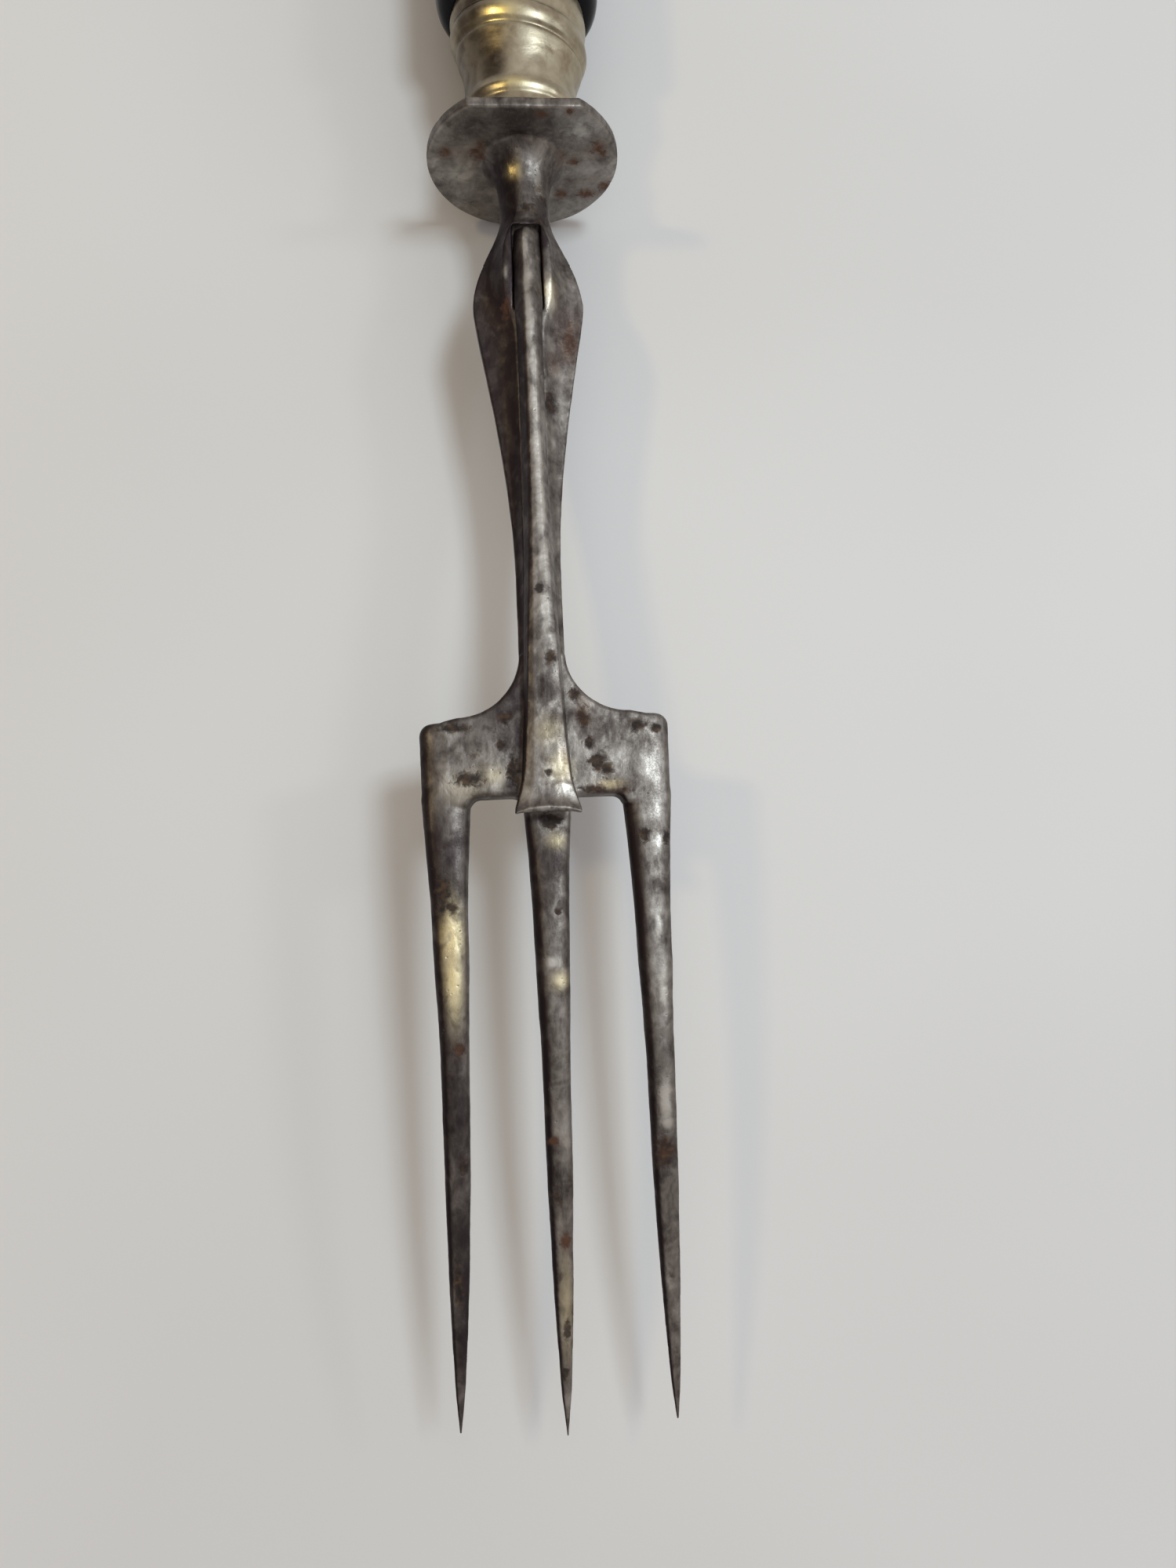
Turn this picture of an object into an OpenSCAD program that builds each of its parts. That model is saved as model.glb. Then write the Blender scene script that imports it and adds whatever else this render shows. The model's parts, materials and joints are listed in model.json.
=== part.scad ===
// Three-tined carving fork with a folding guard, lying back up on its disc and its butt.
// X runs across the fork, Y along it with the handle towards +Y, and Z up.
// Stations are distances from the front face of the disc, towards the tips.

/* [Disc and neck] */
// Diameter of the disc that ends the bolster
disc_d = 27; // [24:0.5:30]
// Thickness of the disc
disc_t = 1.6; // [1.2:0.1:3]
// Height of the disc's flat above the fork's axis
flat_h = 11.2; // [10:0.1:11.6]
// Diameter of the neck at its narrowest
neck_d = 7; // [6:0.1:8]
// Station of the neck's narrowest point
neck_s = 9.2; // [8:0.1:10]
// Diameter of the trumpet where it leaves the disc
trumpet_d = 12; // [10:0.5:16]

/* [Shank] */
// Station of the crotches between the tines
crotch_s = 91.5; // [86:0.5:98]
// Width across the two wings
wing_w = 15.2; // [13:0.1:18]
// Station of the widest point of the wings
wing_s = 23; // [22:0.5:26]
// Thickness of a wing at its edge
wing_t = 1.9; // [1.7:0.1:2.4]
// Width of the shank at its waist
waist_w = 5.9; // [5.4:0.1:7]
// Station of the waist
waist_s = 64; // [58:0.5:66]
// Depth of the belly below the axis at the wings
belly = 4.4; // [4.2:0.1:5]
// Rise of the head above the handle's axis
arch = 2.6; // [1:0.1:4]

/* [Head and tines] */
// Width of the head over its shoulders
head_w = 31.6; // [29:0.2:35]
// Length of the head from its shoulders to the crotches
head_l = 10.5; // [9:0.5:13]
// Thickness of the head
head_t = 3.4; // [2.8:0.1:4]
// Radius between the shank and a shoulder
shoulder_r = 8; // [6:0.5:9]
// Radius of the head's outer corners
corner_r = 1.6; // [1:0.1:2.5]
// How much nearer the tips an outer corner lies than the foot of the shank's fillet
shoulder_slope = 0.5; // [0.2:0.1:1]
// Radius in the corners of a crotch
crotch_r = 1.3; // [0.8:0.1:1.8]
// Width of a tine at its root
tine_w = 6; // [5:0.1:7]
// Length of the middle tine from the crotch
tine_l = 77; // [65:1:90]
// How much shorter the outer tines are
tine_step = 1.2; // [0:0.2:3]
// Distance from the middle tine's centre to an outer tine's tip
tip_x = 13.3; // [12.4:0.1:14]
// Drop of the tips below the head
tine_drop = 8.6; // [4:0.2:12]

/* [Guard] */
// Width of the guard's bar
guard_w = 3.6; // [3:0.1:4]
// Width of the guard over its lip
lip_w = 8.2; // [7:0.1:10]
// How far the lip reaches past the crotches
lip_past = 1.9; // [1:0.1:3]
// How far the lip's corners reach past its middle
lip_tail = 0.8; // [0.4:0.1:1.2]
// Thickness of the bar over the waist
guard_t = 2.2; // [1.8:0.1:2.6]
// Height of the lip's curl
lip_curl = 1.4; // [0.8:0.1:2]
// Station of the hinge pin
pin_s = 16.75; // [16:0.05:17.5]
// Diameter of the hinge pin
pin_d = 1.6; // [1.4:0.1:1.8]
// Radius of the knuckle round the pin
knuckle_r = 3.9; // [3.6:0.1:4]
// How far the bar's heel reaches behind the pin, where it stops the opened guard
heel_l = 4.4; // [4.2:0.1:4.5]
// Clearance beside, under and behind the guard
guard_gap = 0.22; // [0.2:0.01:0.3]
// Radial clearance of the guard's bore on its pin
pin_gap = 0.05; // [0.03:0.01:0.1]

/* [Ferrule] */
// Length of the ferrule from the disc to the handle
ferrule_l = 22; // [20:0.5:24]
// Width of the ferrule over its barrel
barrel_w = 19.6; // [18:0.2:21]
// Width of the ferrule at its waist
ferrule_waist_w = 15.2; // [14:0.2:16]
// Height of the ferrule as a share of its width
ferrule_share = 0.87; // [0.8:0.01:0.95]
// Diameter of the ferrule's spigot in the handle
spigot_d = 12; // [11:0.5:13]
// Length of the spigot
spigot_l = 5; // [3:0.5:8]

/* [Handle] */
// Length of the handle between the ferrule and the cap
handle_l = 96; // [80:1:115]
// Width of the handle near the ferrule
handle_w = 23.6; // [22:0.2:26]
// Width of the handle at its butt
butt_w = 27.2; // [25:0.2:29]
// Height of the grip as a share of its width
grip_share = 0.8; // [0.75:0.01:0.88]
// Length over which the handle's front end is rounded
nose_l = 3.6; // [3:0.2:5]

/* [Tang and cap] */
// Width of the tang where it leaves the disc
tang_w = 6.4; // [5.5:0.1:6.8]
// Diameter of the tang's round end
tang_d = 4; // [3.5:0.1:4.4]
// Diameter of the hole that takes the tang
hole_d = 8.4; // [8:0.1:9.5]
// Length of the butt cap
cap_l = 6.5; // [5:0.5:9]
// Diameter of the burr that the tang is riveted over
burr_d = 8; // [7:0.2:9]
// Thickness of the burr
burr_t = 1; // [0.8:0.1:1.4]
// Clearance between pieces that seat in each other
seat_gap = 0.04; // [0.02:0.01:0.08]

/* [Hidden] */
$fn = 64;
overlap = 0.6;
steel = [0.36, 0.34, 0.33];
nickel_silver = [0.72, 0.66, 0.52];

disc_r = disc_d / 2;
neck_r = neck_d / 2;
wing_r = wing_w / 2;
waist_r = waist_w / 2;
lip_s = crotch_s + lip_past;
lip_r = lip_w / 2;
shoulder_s = crotch_s - head_l;
arch_start = 40;
arch_end = shoulder_s - 3;
// Height of the cheeks' tops, of the knuckle's pin and of the land that the guard lies on
cheek_z = 3.3;
pin_z = 0.2;
land_z = 1.9;
slot_w = guard_w + 2 * guard_gap;
slot_front = pin_s + knuckle_r + guard_gap;
groove_front = slot_front + 3.4;
groove_z = 1;
cheek_w = slot_w + 2.2;
land_w = guard_w + 0.3;

// Distances behind the disc's front face, towards the butt
ferrule_back = disc_t + ferrule_l;
handle_back = ferrule_back + handle_l;
cap_back = handle_back + cap_l;
rivet_h = 1.1;
rear_end = cap_back + burr_t + rivet_h;
mid_tip_s = crotch_s + tine_l;

// The fork lies on the disc's rear edge and on the handle's butt
butt_half_h = grip_share * butt_w / 2;
rest_tilt = atan((disc_r - butt_half_h) / (handle_back - disc_t));
tip_z = arch - tine_drop;
function resting(s, z) = [-s * cos(rest_tilt) + z * sin(rest_tilt), s * sin(rest_tilt) + z * cos(rest_tilt)];
tip_y = resting(mid_tip_s, tip_z)[0];
rear_y = resting(-rear_end, 0)[0];
mid_y = (tip_y + rear_y) / 2;
foot_z = resting(-disc_t, -disc_r)[1];

module at_rest() {
    translate([0, -mid_y, -foot_z]) rotate([-rest_tilt, 0, 0]) children();
}

// Stands children along the fork: their Z runs from the station s towards the tips
module along(s) {
    translate([0, -s, 0]) rotate([90, 0, 0]) children();
}

function mix(a, b, u) = a + (b - a) * u;
function clamp(u) = min(1, max(0, u));
function ease(u) = let (v = clamp(u)) v * v * (3 - 2 * v);
function steps(a, b, n) = [for (i = [0:n]) mix(a, b, i / n)];

// Reads a value between the stations of a table of [station, value]
function span_of(table, s, i = 0) = i < len(table) - 2 && s > table[i + 1][0] ? span_of(table, s, i + 1) : i;
function grade(table, i) =
    let (a = max(0, i - 1), b = min(len(table) - 1, i + 1))
    (table[b][1] - table[a][1]) / (table[b][0] - table[a][0]);
function flow(table, s) =
    let (i = span_of(table, s), a = table[i], b = table[i + 1], h = b[0] - a[0], u = clamp((s - a[0]) / h))
    a[1] * (1 + 2 * u) * (1 - u) * (1 - u) + grade(table, i) * h * u * (1 - u) * (1 - u)
    + b[1] * u * u * (3 - 2 * u) + grade(table, i + 1) * h * u * u * (u - 1);

// Skins a closed solid over rings of equal length that run counterclockwise seen from the tips
module skin(stack) {
    n = len(stack[0]);
    last = len(stack) - 1;
    rings = stack[0][0][1] < stack[last][0][1] ? stack : [for (k = [last:-1:0]) stack[k]];
    sides = [for (k = [0:last - 1], i = [0:n - 1])
        let (a = k * n + i, b = k * n + (i + 1) % n)
        each [[a, b, b + n], [a, b + n, a + n]]];
    ends = [[for (i = [n - 1:-1:0]) i], [for (i = [0:n - 1]) last * n + i]];
    polyhedron(points = [for (ring = rings) each ring], faces = concat(sides, ends));
}

// An oval ring across the fork; a power above 2 squares it
function oval(s, half_w, half_h, power = 2, n = 48, x = 0, z = 0) =
    [for (i = [0:n - 1])
        let (a = 360 * i / n, c = cos(a), d = sin(a))
        [x + half_w * sign(c) * pow(abs(c), 2 / power), -s, z + half_h * sign(d) * pow(abs(d), 2 / power)]];

// Height of the fork's middle surface above the axis
function rise(s) = arch * ease((s - arch_start) / (arch_end - arch_start));
function tine_z(u) = arch - tine_drop * u * u;

// How far the shank's hidden end lies inside the neck's round surface
neck_inset = 0.06;

// Half width of the shank
function shank_half(s) =
    s < neck_s ? neck_r - neck_inset
    : s < wing_s ? mix(neck_r, wing_r, ease(pow(clamp((s - neck_s) / (wing_s - neck_s)), 0.85)))
    : mix(wing_r, waist_r, ease(pow((s - wing_s) / (waist_s - wing_s), 0.66)));
function land_half(s) = flow([[neck_s, 1], [12, 2.1], [15, cheek_w / 2], [22, cheek_w / 2], [27, land_w / 2],
    [waist_s, land_w / 2], [shoulder_s, land_w / 2]], s);
function land_top(s) = flow([[neck_s, neck_r], [12, cheek_z + 0.5], [15, cheek_z + 0.3], [20, cheek_z],
    [24, 2.6], [30, 2.1], [44, land_z], [waist_s, land_z], [shoulder_s, head_t / 2]], s);
function edge_top(s) = flow([[neck_s, 0.4], [pin_s, 1.15], [wing_s, 0.9], [40, 0.6], [waist_s, 0.7],
    [shoulder_s, 0.8]], s);
function edge_low(s) = edge_top(s) - flow([[neck_s, 0.8], [pin_s, wing_t], [wing_s, wing_t - 0.3], [40, 1.4],
    [waist_s, 1.8], [shoulder_s, 2]], s);
function belly_low(s) = -flow([[neck_s, neck_r], [14, belly - 0.1], [20, belly], [32, belly - 0.6],
    [waist_s, 2.7], [shoulder_s, head_t / 2]], s);

// One ring of the shank: a round neck that turns into a land with scooped wings and a rounded belly
function shank_ring(s) =
    let (
        w = shank_half(s), l = min(land_half(s), 0.82 * w), turn = ease((s - neck_s) / 5),
        out = steps(0, 1, 5), in = steps(0, 1, 7),
        top = [for (u = out) let (x = mix(l, w, u), round_z = sqrt(max(0, w * w - x * x)))
            [x, mix(round_z, edge_top(s) + (land_top(s) - edge_top(s)) * pow(1 - u, 2.1), turn)]],
        low = [for (u = in) let (x = w * cos(90 * u), round_z = -w * sin(90 * u))
            [x, mix(round_z, edge_low(s) + (belly_low(s) - edge_low(s)) * pow(sin(90 * u), 1.6), turn)]],
        half = concat([[0, mix(w, land_top(s), turn)]], top, low),
        n = len(half)
    )
    [for (i = [0:2 * n - 3])
        let (p = i < n ? half[i] : half[2 * n - 2 - i], side = i < n ? -1 : 1)
        [side * p[0], -s, rise(s) + p[1]]];

module shank() {
    stations = concat(steps(neck_s - 1, 14, 6), steps(15, 32, 17), steps(34, waist_s, 12),
        steps(waist_s + 3, shoulder_s + 2, 5));
    skin([for (s = stations) shank_ring(s)]);
}

module disc_and_neck() {
    difference() {
        along(-disc_t) cylinder(r = disc_r, h = disc_t, $fn = 128);
        translate([-disc_r, -overlap, flat_h]) cube([disc_d, disc_t + 2 * overlap, disc_r]);
    }
    trumpet = [for (u = steps(0, 1, 12)) [mix(neck_r, trumpet_d / 2, pow(1 - u, 4)), u * neck_s]];
    along(0) rotate_extrude()
        polygon(concat([[0, -disc_t / 2], [trumpet_d / 2, -disc_t / 2]], trumpet, [[0, neck_s]]));
}

// Distance from the middle to an outer tine's root. The head's plate ends inside the outer tines, which
// run up along it to the shoulders and give the head its rounded outer edges.
root_x = (head_w - tine_w - 0.4) / 2;
plate_x = root_x + 0.1 * tine_w;
plate_end = crotch_s + crotch_r;

// Right half of the head's plate, from the shank's waist to the tines' roots
function head_half() =
    let (
        fillet = [for (a = steps(0, 90, 12))
            [waist_r + shoulder_r * (1 - cos(a)), shoulder_s - shoulder_r * (1 - sin(a))]],
        outer = [[plate_x, shoulder_s + 0.7 * shoulder_slope], [plate_x, plate_end]]
    )
    concat([[0, shoulder_s - shoulder_r]], fillet, outer, [[0, plate_end]]);

module head_outline() {
    half = head_half();
    difference() {
        polygon(concat(
            [for (p = half) [p[0], -p[1]]],
            [for (i = [len(half) - 1:-1:0]) [-half[i][0], -half[i][1]]]));
        for (side = [-1, 1]) crotch(side);
    }
}

// The gap between the middle tine and an outer one, with rounded corners
module crotch(side) {
    low = tine_w / 2;
    high = root_x - tine_w / 2;
    deep = plate_end + overlap;
    arc_in = [for (a = steps(180, 90, 6))
        [low + crotch_r * (1 + cos(a)), crotch_s + crotch_r * (1 - sin(a))]];
    arc_out = [for (a = steps(90, 0, 6))
        [high - crotch_r * (1 - cos(a)), crotch_s + crotch_r * (1 - sin(a))]];
    polygon([for (p = concat([[low, deep]], arc_in, arc_out, [[high, deep]])) [side * p[0], -p[1]]]);
}

module head() {
    translate([0, 0, arch - head_t / 2]) linear_extrude(head_t) head_outline();
}

// Half width of a tine, as a share of its root's, at a share of its length
tine_taper = [[0, 1], [0.08, 0.85], [0.17, 0.73], [0.28, 0.66], [0.4, 0.55], [0.6, 0.48], [0.72, 0.4],
    [0.83, 0.31], [0.93, 0.18], [1, 0.03]];

// The section is nearly a rectangle at the root of the middle tine, and is rounded everywhere else
edge_power = 2.7;
root_share = 0.985;

module tine(side, length, lead, root_power) {
    tip = [for (u = steps(0, 1, 26))
        let (
            half_w = tine_w / 2 * flow(tine_taper, u),
            half_h = head_t / 2 * mix(root_share, 0.1, pow(u, 1.5)),
            power = mix(root_power, edge_power, ease(u / 0.12)),
            x = side * mix(root_x, tip_x, pow(u, 3)),
            z = tine_z(u * length / tine_l)
        )
        oval(crotch_s + u * length, half_w, min(half_h, 1.2 * half_w), power, 20, x, z)];
    skin(concat(lead, tip));
}

// A ring of the head's outer edge: its outer side follows the corner's arc and its inner side is in the plate
function edge_ring(side, s, outer) =
    let (inner = root_x - tine_w / 2)
    oval(s, (outer - inner) / 2, root_share * head_t / 2, edge_power, 20, side * (outer + inner) / 2, arch);

module outer_tine(side) {
    corner_s = shoulder_s + shoulder_slope;
    corner = [for (a = steps(80, 0, 5))
        edge_ring(side, corner_s + corner_r * (1 - sin(a)), head_w / 2 - corner_r * (1 - cos(a)))];
    edge = [for (u = [0.3, 0.6])
        edge_ring(side, mix(corner_s + corner_r, crotch_s, u), mix(head_w / 2, root_x + tine_w / 2, u))];
    tine(side, tine_l - tine_step, concat(corner, edge), edge_power);
}

module tines() {
    tine(0, tine_l, [oval(crotch_s - 2, tine_w / 2, root_share * head_t / 2, 5, 20, 0, arch)], 5);
    for (side = [-1, 1]) outer_tine(side);
}

// The tang tapers to a round end, which is riveted over the burr
module tang() {
    square_end = handle_back - 8;
    skin([for (s = [-disc_t / 2, -ferrule_back, -square_end])
        let (u = -s / square_end, half = mix(tang_w, tang_d * 0.8, u) / 2, half_h = 0.8 * half)
        [[-half, -s, -half_h], [half, -s, -half_h], [half, -s, half_h], [-half, -s, half_h]]]);
    along(-rear_end + rivet_h / 2) cylinder(d = tang_d, h = rear_end - rivet_h / 2 - square_end);
    along(-cap_back - burr_t) rotate([180, 0, 0]) rotate_extrude()
        polygon(concat([[0, 0]], [for (a = steps(0, 90, 8)) [0.8 * tang_d * cos(a), rivet_h * sin(a)]]));
}

// Room for the guard: a slot through the shank for the knuckle and the heel that turns behind it, and a
// groove for the root of the bar
module guard_slot() {
    reach = heel_r + guard_gap;
    groove_l = groove_front - slot_front + overlap;
    translate([-slot_w / 2, -slot_front, -belly - overlap]) cube([slot_w, slot_front - pin_s, 3 * belly]);
    intersection() {
        translate([-slot_w / 2, -pin_s, pin_z]) rotate([0, 90, 0]) cylinder(r = reach, h = slot_w, $fn = 128);
        translate([-slot_w, -pin_s - guard_gap, -2 * reach]) cube([2 * slot_w, 2 * reach, 4 * reach]);
    }
    translate([-slot_w / 2, -groove_front, groove_z]) cube([slot_w, groove_l, 3 * belly]);
}

module pin_hole(d) {
    translate([-wing_r, -pin_s, pin_z]) rotate([0, 90, 0]) cylinder(d = d, h = wing_w, $fn = 48);
}

module fork_forging() {
    color(steel) at_rest() difference() {
        union() {
            disc_and_neck();
            shank();
            head();
            tines();
            tang();
        }
        guard_slot();
        pin_hole(pin_d);
    }
}

// Height of the crown of the guard's rounded top, and the heights of the bar's underside and top
crown = 0.12;
guard_low = land_z + guard_gap;
guard_high = guard_low + guard_t;

// The heel's end: its station, the height of its top and its reach from the pin
heel_s = pin_s - heel_l;
heel_z = 3.7;
heel_r = sqrt(pow(heel_l, 2) + pow(heel_z + crown - pin_z, 2));

// Stations of the guard: [station, half width on top, half width below, underside, top, depth of the bevel],
// with heights above the fork's middle surface
guard_table = [
    [heel_s, 0.55, guard_w / 2 - 0.25, 2.4, heel_z, 0.7],
    [heel_s + 0.5, 0.8, guard_w / 2 - 0.05, 1.9, heel_z + 0.15, 0.8],
    [heel_s + 1.4, 0.92, guard_w / 2, 1.1, heel_z + 0.3, 0.9],
    [pin_s, 0.95, guard_w / 2, 0.4, knuckle_r + pin_z, 1],
    [slot_front - guard_gap, 1, guard_w / 2, groove_z + guard_gap, knuckle_r + pin_z + 0.15, 1.1],
    [groove_front - 0.5, 1, guard_w / 2, 2.75 + guard_gap, 4.75, 1.15],
    [27, 1, guard_w / 2 - 0.05, 2.5 + guard_gap, 4.95, 1.25],
    [31, 1, guard_w / 2 - 0.1, 2.15 + guard_gap, 4.8, 1.35],
    [43, 0.92, guard_w / 2 - 0.1, guard_low, guard_high + 0.3, 1.4],
    [53, 1.05, guard_w / 2 - 0.05, guard_low, guard_high + 0.1, 1.3],
    [waist_s, 1.45, guard_w / 2 + 0.15, guard_low, guard_high, 1.2],
    [74, 1.9, 2.35, guard_low, guard_high - 0.1, 1.1],
    [shoulder_s, 2.2, 2.6, guard_low, guard_high - 0.1, 1.1],
    [lip_s - 6.4, 2.6, 2.95, guard_low, guard_high - 0.1, 1],
    [lip_s - 3.4, lip_r - 1.15, lip_r - 0.9, guard_low + 0.15, guard_high - 0.15, 0.8],
    [lip_s - 1.7, lip_r - 0.65, lip_r - 0.5,
        guard_low + 0.35 * lip_curl, guard_high + 0.25 * lip_curl - 0.5, 0.5],
    [lip_s - 0.7, lip_r - 0.2, lip_r - 0.1,
        guard_low + 0.7 * lip_curl, guard_high + 0.6 * lip_curl - 0.75, 0.4],
    [lip_s, lip_r - 0.05, lip_r, guard_low + lip_curl, guard_high + lip_curl - 0.9, 0.35]];
function guard_at(s, column) = flow([for (row = guard_table) [row[0], row[column]]], s);

// One ring of the guard: a flat top between bevels; the lip's end is notched like a swallow's tail
function guard_ring(s) =
    let (
        top_w = guard_at(s, 1), low_w = guard_at(s, 2), low = guard_at(s, 3), top = guard_at(s, 4),
        side = top - guard_at(s, 5), tail = lip_tail * ease((s - lip_s + 3) / 3),
        half = [[0, top + crown], [0.6 * top_w, top + 0.7 * crown], [top_w, top - crown], [low_w, side],
            [low_w, low + 0.15], [low_w - 0.2, low], [0, low]],
        n = len(half)
    )
    [for (i = [0:2 * n - 3])
        let (p = i < n ? half[i] : half[2 * n - 2 - i], sign_x = i < n ? -1 : 1)
        [sign_x * p[0], -s - tail * pow(p[0] / lip_r, 2), rise(s) + p[1]]];

// The knuckle is a disc with bevelled rims, as the bar over it is
module knuckle() {
    rim_r = knuckle_r - 1;
    top_w = guard_at(pin_s, 1);
    translate([0, -pin_s, pin_z]) rotate([0, 90, 0]) rotate_extrude($fn = 96)
        polygon([[0, -guard_w / 2], [rim_r, -guard_w / 2], [knuckle_r - crown, -top_w],
            [knuckle_r - crown, top_w], [rim_r, guard_w / 2], [0, guard_w / 2]]);
}

module guard() {
    stations = concat(steps(heel_s, heel_s + 1.5, 3), steps(heel_s + 2.4, 31, 16), steps(33, 73, 10),
        steps(75, lip_s - 3.5, 8), steps(lip_s - 3, lip_s, 6));
    color(steel) at_rest() difference() {
        union() {
            knuckle();
            skin([for (s = stations) guard_ring(s)]);
        }
        pin_hole(pin_d + 2 * pin_gap);
    }
}

module guard_pin() {
    pin_l = 2 * shank_half(pin_s) - 0.3;
    color(steel) at_rest() translate([-pin_l / 2, -pin_s, pin_z]) rotate([0, 90, 0])
        cylinder(d = pin_d, h = pin_l, $fn = 48);
}

// Half width of the ferrule at a distance behind the disc: a foot, a bead between two grooves, a bowl that
// swells to a third groove, and a barrel with a fine line round it
ferrule_table = let (w = ferrule_waist_w / 2, b = barrel_w / 2, l = ferrule_l)
    [[0, w + 1], [2.6, w + 0.8], [3.9, w + 0.3], [4.6, w + 0.2], [5.2, w + 0.6], [5.9, w + 0.85],
    [6.6, w + 0.6], [7.2, w + 0.15], [8.6, w + 0.1], [10.4, w], [12, mix(w, b, 0.15)], [13.2, mix(w, b, 0.4)],
    [14.2, mix(w, b, 0.68)], [14.8, mix(w, b, 0.58)], [15.4, mix(w, b, 0.76)], [16.4, b - 0.3],
    [17.6, b - 0.15], [18.2, b - 0.12], [18.5, b - 0.35], [18.8, b - 0.1], [20.4, b], [l, b - 0.2]];

module ferrule() {
    last = len(ferrule_table) - 1;
    halfway = [for (i = [0:last - 1], u = [0, 0.5]) mix(ferrule_table[i][0], ferrule_table[i + 1][0], u)];
    distances = concat(halfway, [ferrule_l]);
    color(nickel_silver) at_rest() difference() {
        union() {
            skin([for (d = distances)
                let (half = flow(ferrule_table, d)) oval(-disc_t - d, half, half * ferrule_share, 2, 36)]);
            along(-ferrule_back - spigot_l) cylinder(d = spigot_d, h = spigot_l + overlap);
        }
        along(-ferrule_back - spigot_l - overlap)
            cylinder(d = hole_d, h = ferrule_l + spigot_l + 2 * overlap);
    }
}

// Half width of the handle at a distance behind the ferrule. Its section is the ferrule's at the front and
// grows squarer and flatter over the blend.
handle_blend = 40;
nose_drop = (handle_w - barrel_w) / 2 + 0.3;
function handle_half(d) = mix(handle_w, butt_w, ease((d - 20) / (handle_l - 30))) / 2
    - (d < nose_l ? nose_drop * (1 - sqrt(1 - pow(1 - d / nose_l, 2))) : 0);
function handle_ring(d) =
    let (half = handle_half(d), u = ease(d / handle_blend))
    oval(-ferrule_back - d, half, half * mix(ferrule_share, grip_share, u), mix(2, 2.5, u), 48);

module handle() {
    distances = concat([for (a = steps(0, 90, 7)) nose_l * (1 - cos(a))], steps(nose_l + 3, handle_l, 17));
    color([0.07, 0.065, 0.065]) at_rest() difference() {
        skin([for (d = distances) handle_ring(d)]);
        along(-handle_back - overlap) cylinder(d = hole_d, h = handle_l + 2 * overlap);
        along(-ferrule_back - spigot_l - seat_gap)
            cylinder(d = spigot_d + 2 * seat_gap, h = spigot_l + seat_gap + overlap);
    }
}

// Cutler's cement fills the hole round the tang, from the disc to the cap
module tang_cement() {
    color([0.23, 0.12, 0.07]) at_rest() difference() {
        along(-handle_back) cylinder(d = hole_d - 2 * seat_gap, h = ferrule_l + handle_l);
        tang();
    }
}

module butt_cap() {
    rim_l = 1.6;
    dome_l = cap_l - rim_l;
    rim = [[0, 0], [rim_l - 0.4, 0], [rim_l - 0.2, -0.35], [rim_l + 0.2, -0.35], [rim_l + 0.4, -0.1]];
    dome = [for (a = steps(8, 90, 8)) [rim_l + dome_l * sin(a), -butt_w * 0.24 * (1 - cos(a)) - 0.1]];
    color(nickel_silver) at_rest() difference() {
        skin([for (p = concat(rim, dome))
            let (half = butt_w / 2 + p[1]) oval(-handle_back - p[0], half, half * grip_share, 2.5, 48)]);
        along(-cap_back - overlap) cylinder(d = tang_d + 2 * seat_gap, h = cap_l + 2 * overlap);
    }
}

module burr() {
    color(nickel_silver) at_rest() difference() {
        along(-cap_back - burr_t) cylinder(d = burr_d, h = burr_t);
        along(-cap_back - burr_t - overlap) cylinder(d = tang_d + 2 * seat_gap, h = burr_t + 2 * overlap);
    }
}

fork_forging();
guard();
guard_pin();
ferrule();
handle();
tang_cement();
butt_cap();
burr();
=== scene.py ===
"""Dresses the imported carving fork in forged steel, nickel silver and horn, in the photograph's view.

Shapes are written in fork coordinates, in millimetres: x across the fork, s along it from the front face
of the disc towards the tips, and h above the fork's axis. place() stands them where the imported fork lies.
"""
import json
import math

import bmesh
import bpy
import numpy as np
from mathutils import Matrix, Vector, noise


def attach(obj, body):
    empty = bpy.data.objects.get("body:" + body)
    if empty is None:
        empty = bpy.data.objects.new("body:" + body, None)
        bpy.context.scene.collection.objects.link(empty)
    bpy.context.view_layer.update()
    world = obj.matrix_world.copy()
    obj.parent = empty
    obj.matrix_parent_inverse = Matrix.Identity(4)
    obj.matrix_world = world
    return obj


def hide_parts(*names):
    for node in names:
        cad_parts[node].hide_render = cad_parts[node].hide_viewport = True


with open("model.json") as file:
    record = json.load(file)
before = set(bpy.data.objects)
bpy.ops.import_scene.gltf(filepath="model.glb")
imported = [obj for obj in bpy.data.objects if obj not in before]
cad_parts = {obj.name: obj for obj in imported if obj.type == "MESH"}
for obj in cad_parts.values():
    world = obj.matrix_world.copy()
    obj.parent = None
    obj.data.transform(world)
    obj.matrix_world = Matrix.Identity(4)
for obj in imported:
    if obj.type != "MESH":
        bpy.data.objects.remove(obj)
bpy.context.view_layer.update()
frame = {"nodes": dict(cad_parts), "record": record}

MM = 0.001

# Driving sizes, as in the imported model, in millimetres
DISC_R = 13.5
DISC_T = 1.6
FLAT_H = 11.2
NECK_R = 3.5
NECK_S = 9.2
TRUMPET_R = 6.0
WING_R = 7.6
WING_S = 23.0
WAIST_R = 2.95
WAIST_S = 64.0
CROTCH_S = 91.5
SHOULDER_S = 81.0
HEAD_R = 15.8
HEAD_T = 3.4
SHOULDER_FILLET = 8.0
SHOULDER_SLOPE = 0.5
SHOULDER_SKEW = 0.022
CORNER_R = 1.6
CROTCH_R = 1.3
TINE_R = 3.0
TINE_L = 77.0
TINE_STEP = 1.2
TINE_FULL = 0.13
TINE_LEAN = {-1: 0.42, 0: 0.0, 1: 0.15}
ROOT_X = HEAD_R - TINE_R - 0.2
ROOT_SHARE = 0.985
EDGE_POWER = 2.7
TIP_X = 13.3
ARCH = 2.6
ARCH_START = 40.0
TINE_DROP = 8.6
BELLY = 4.4
PIN_S = 16.75
PIN_H = 0.2
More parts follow.
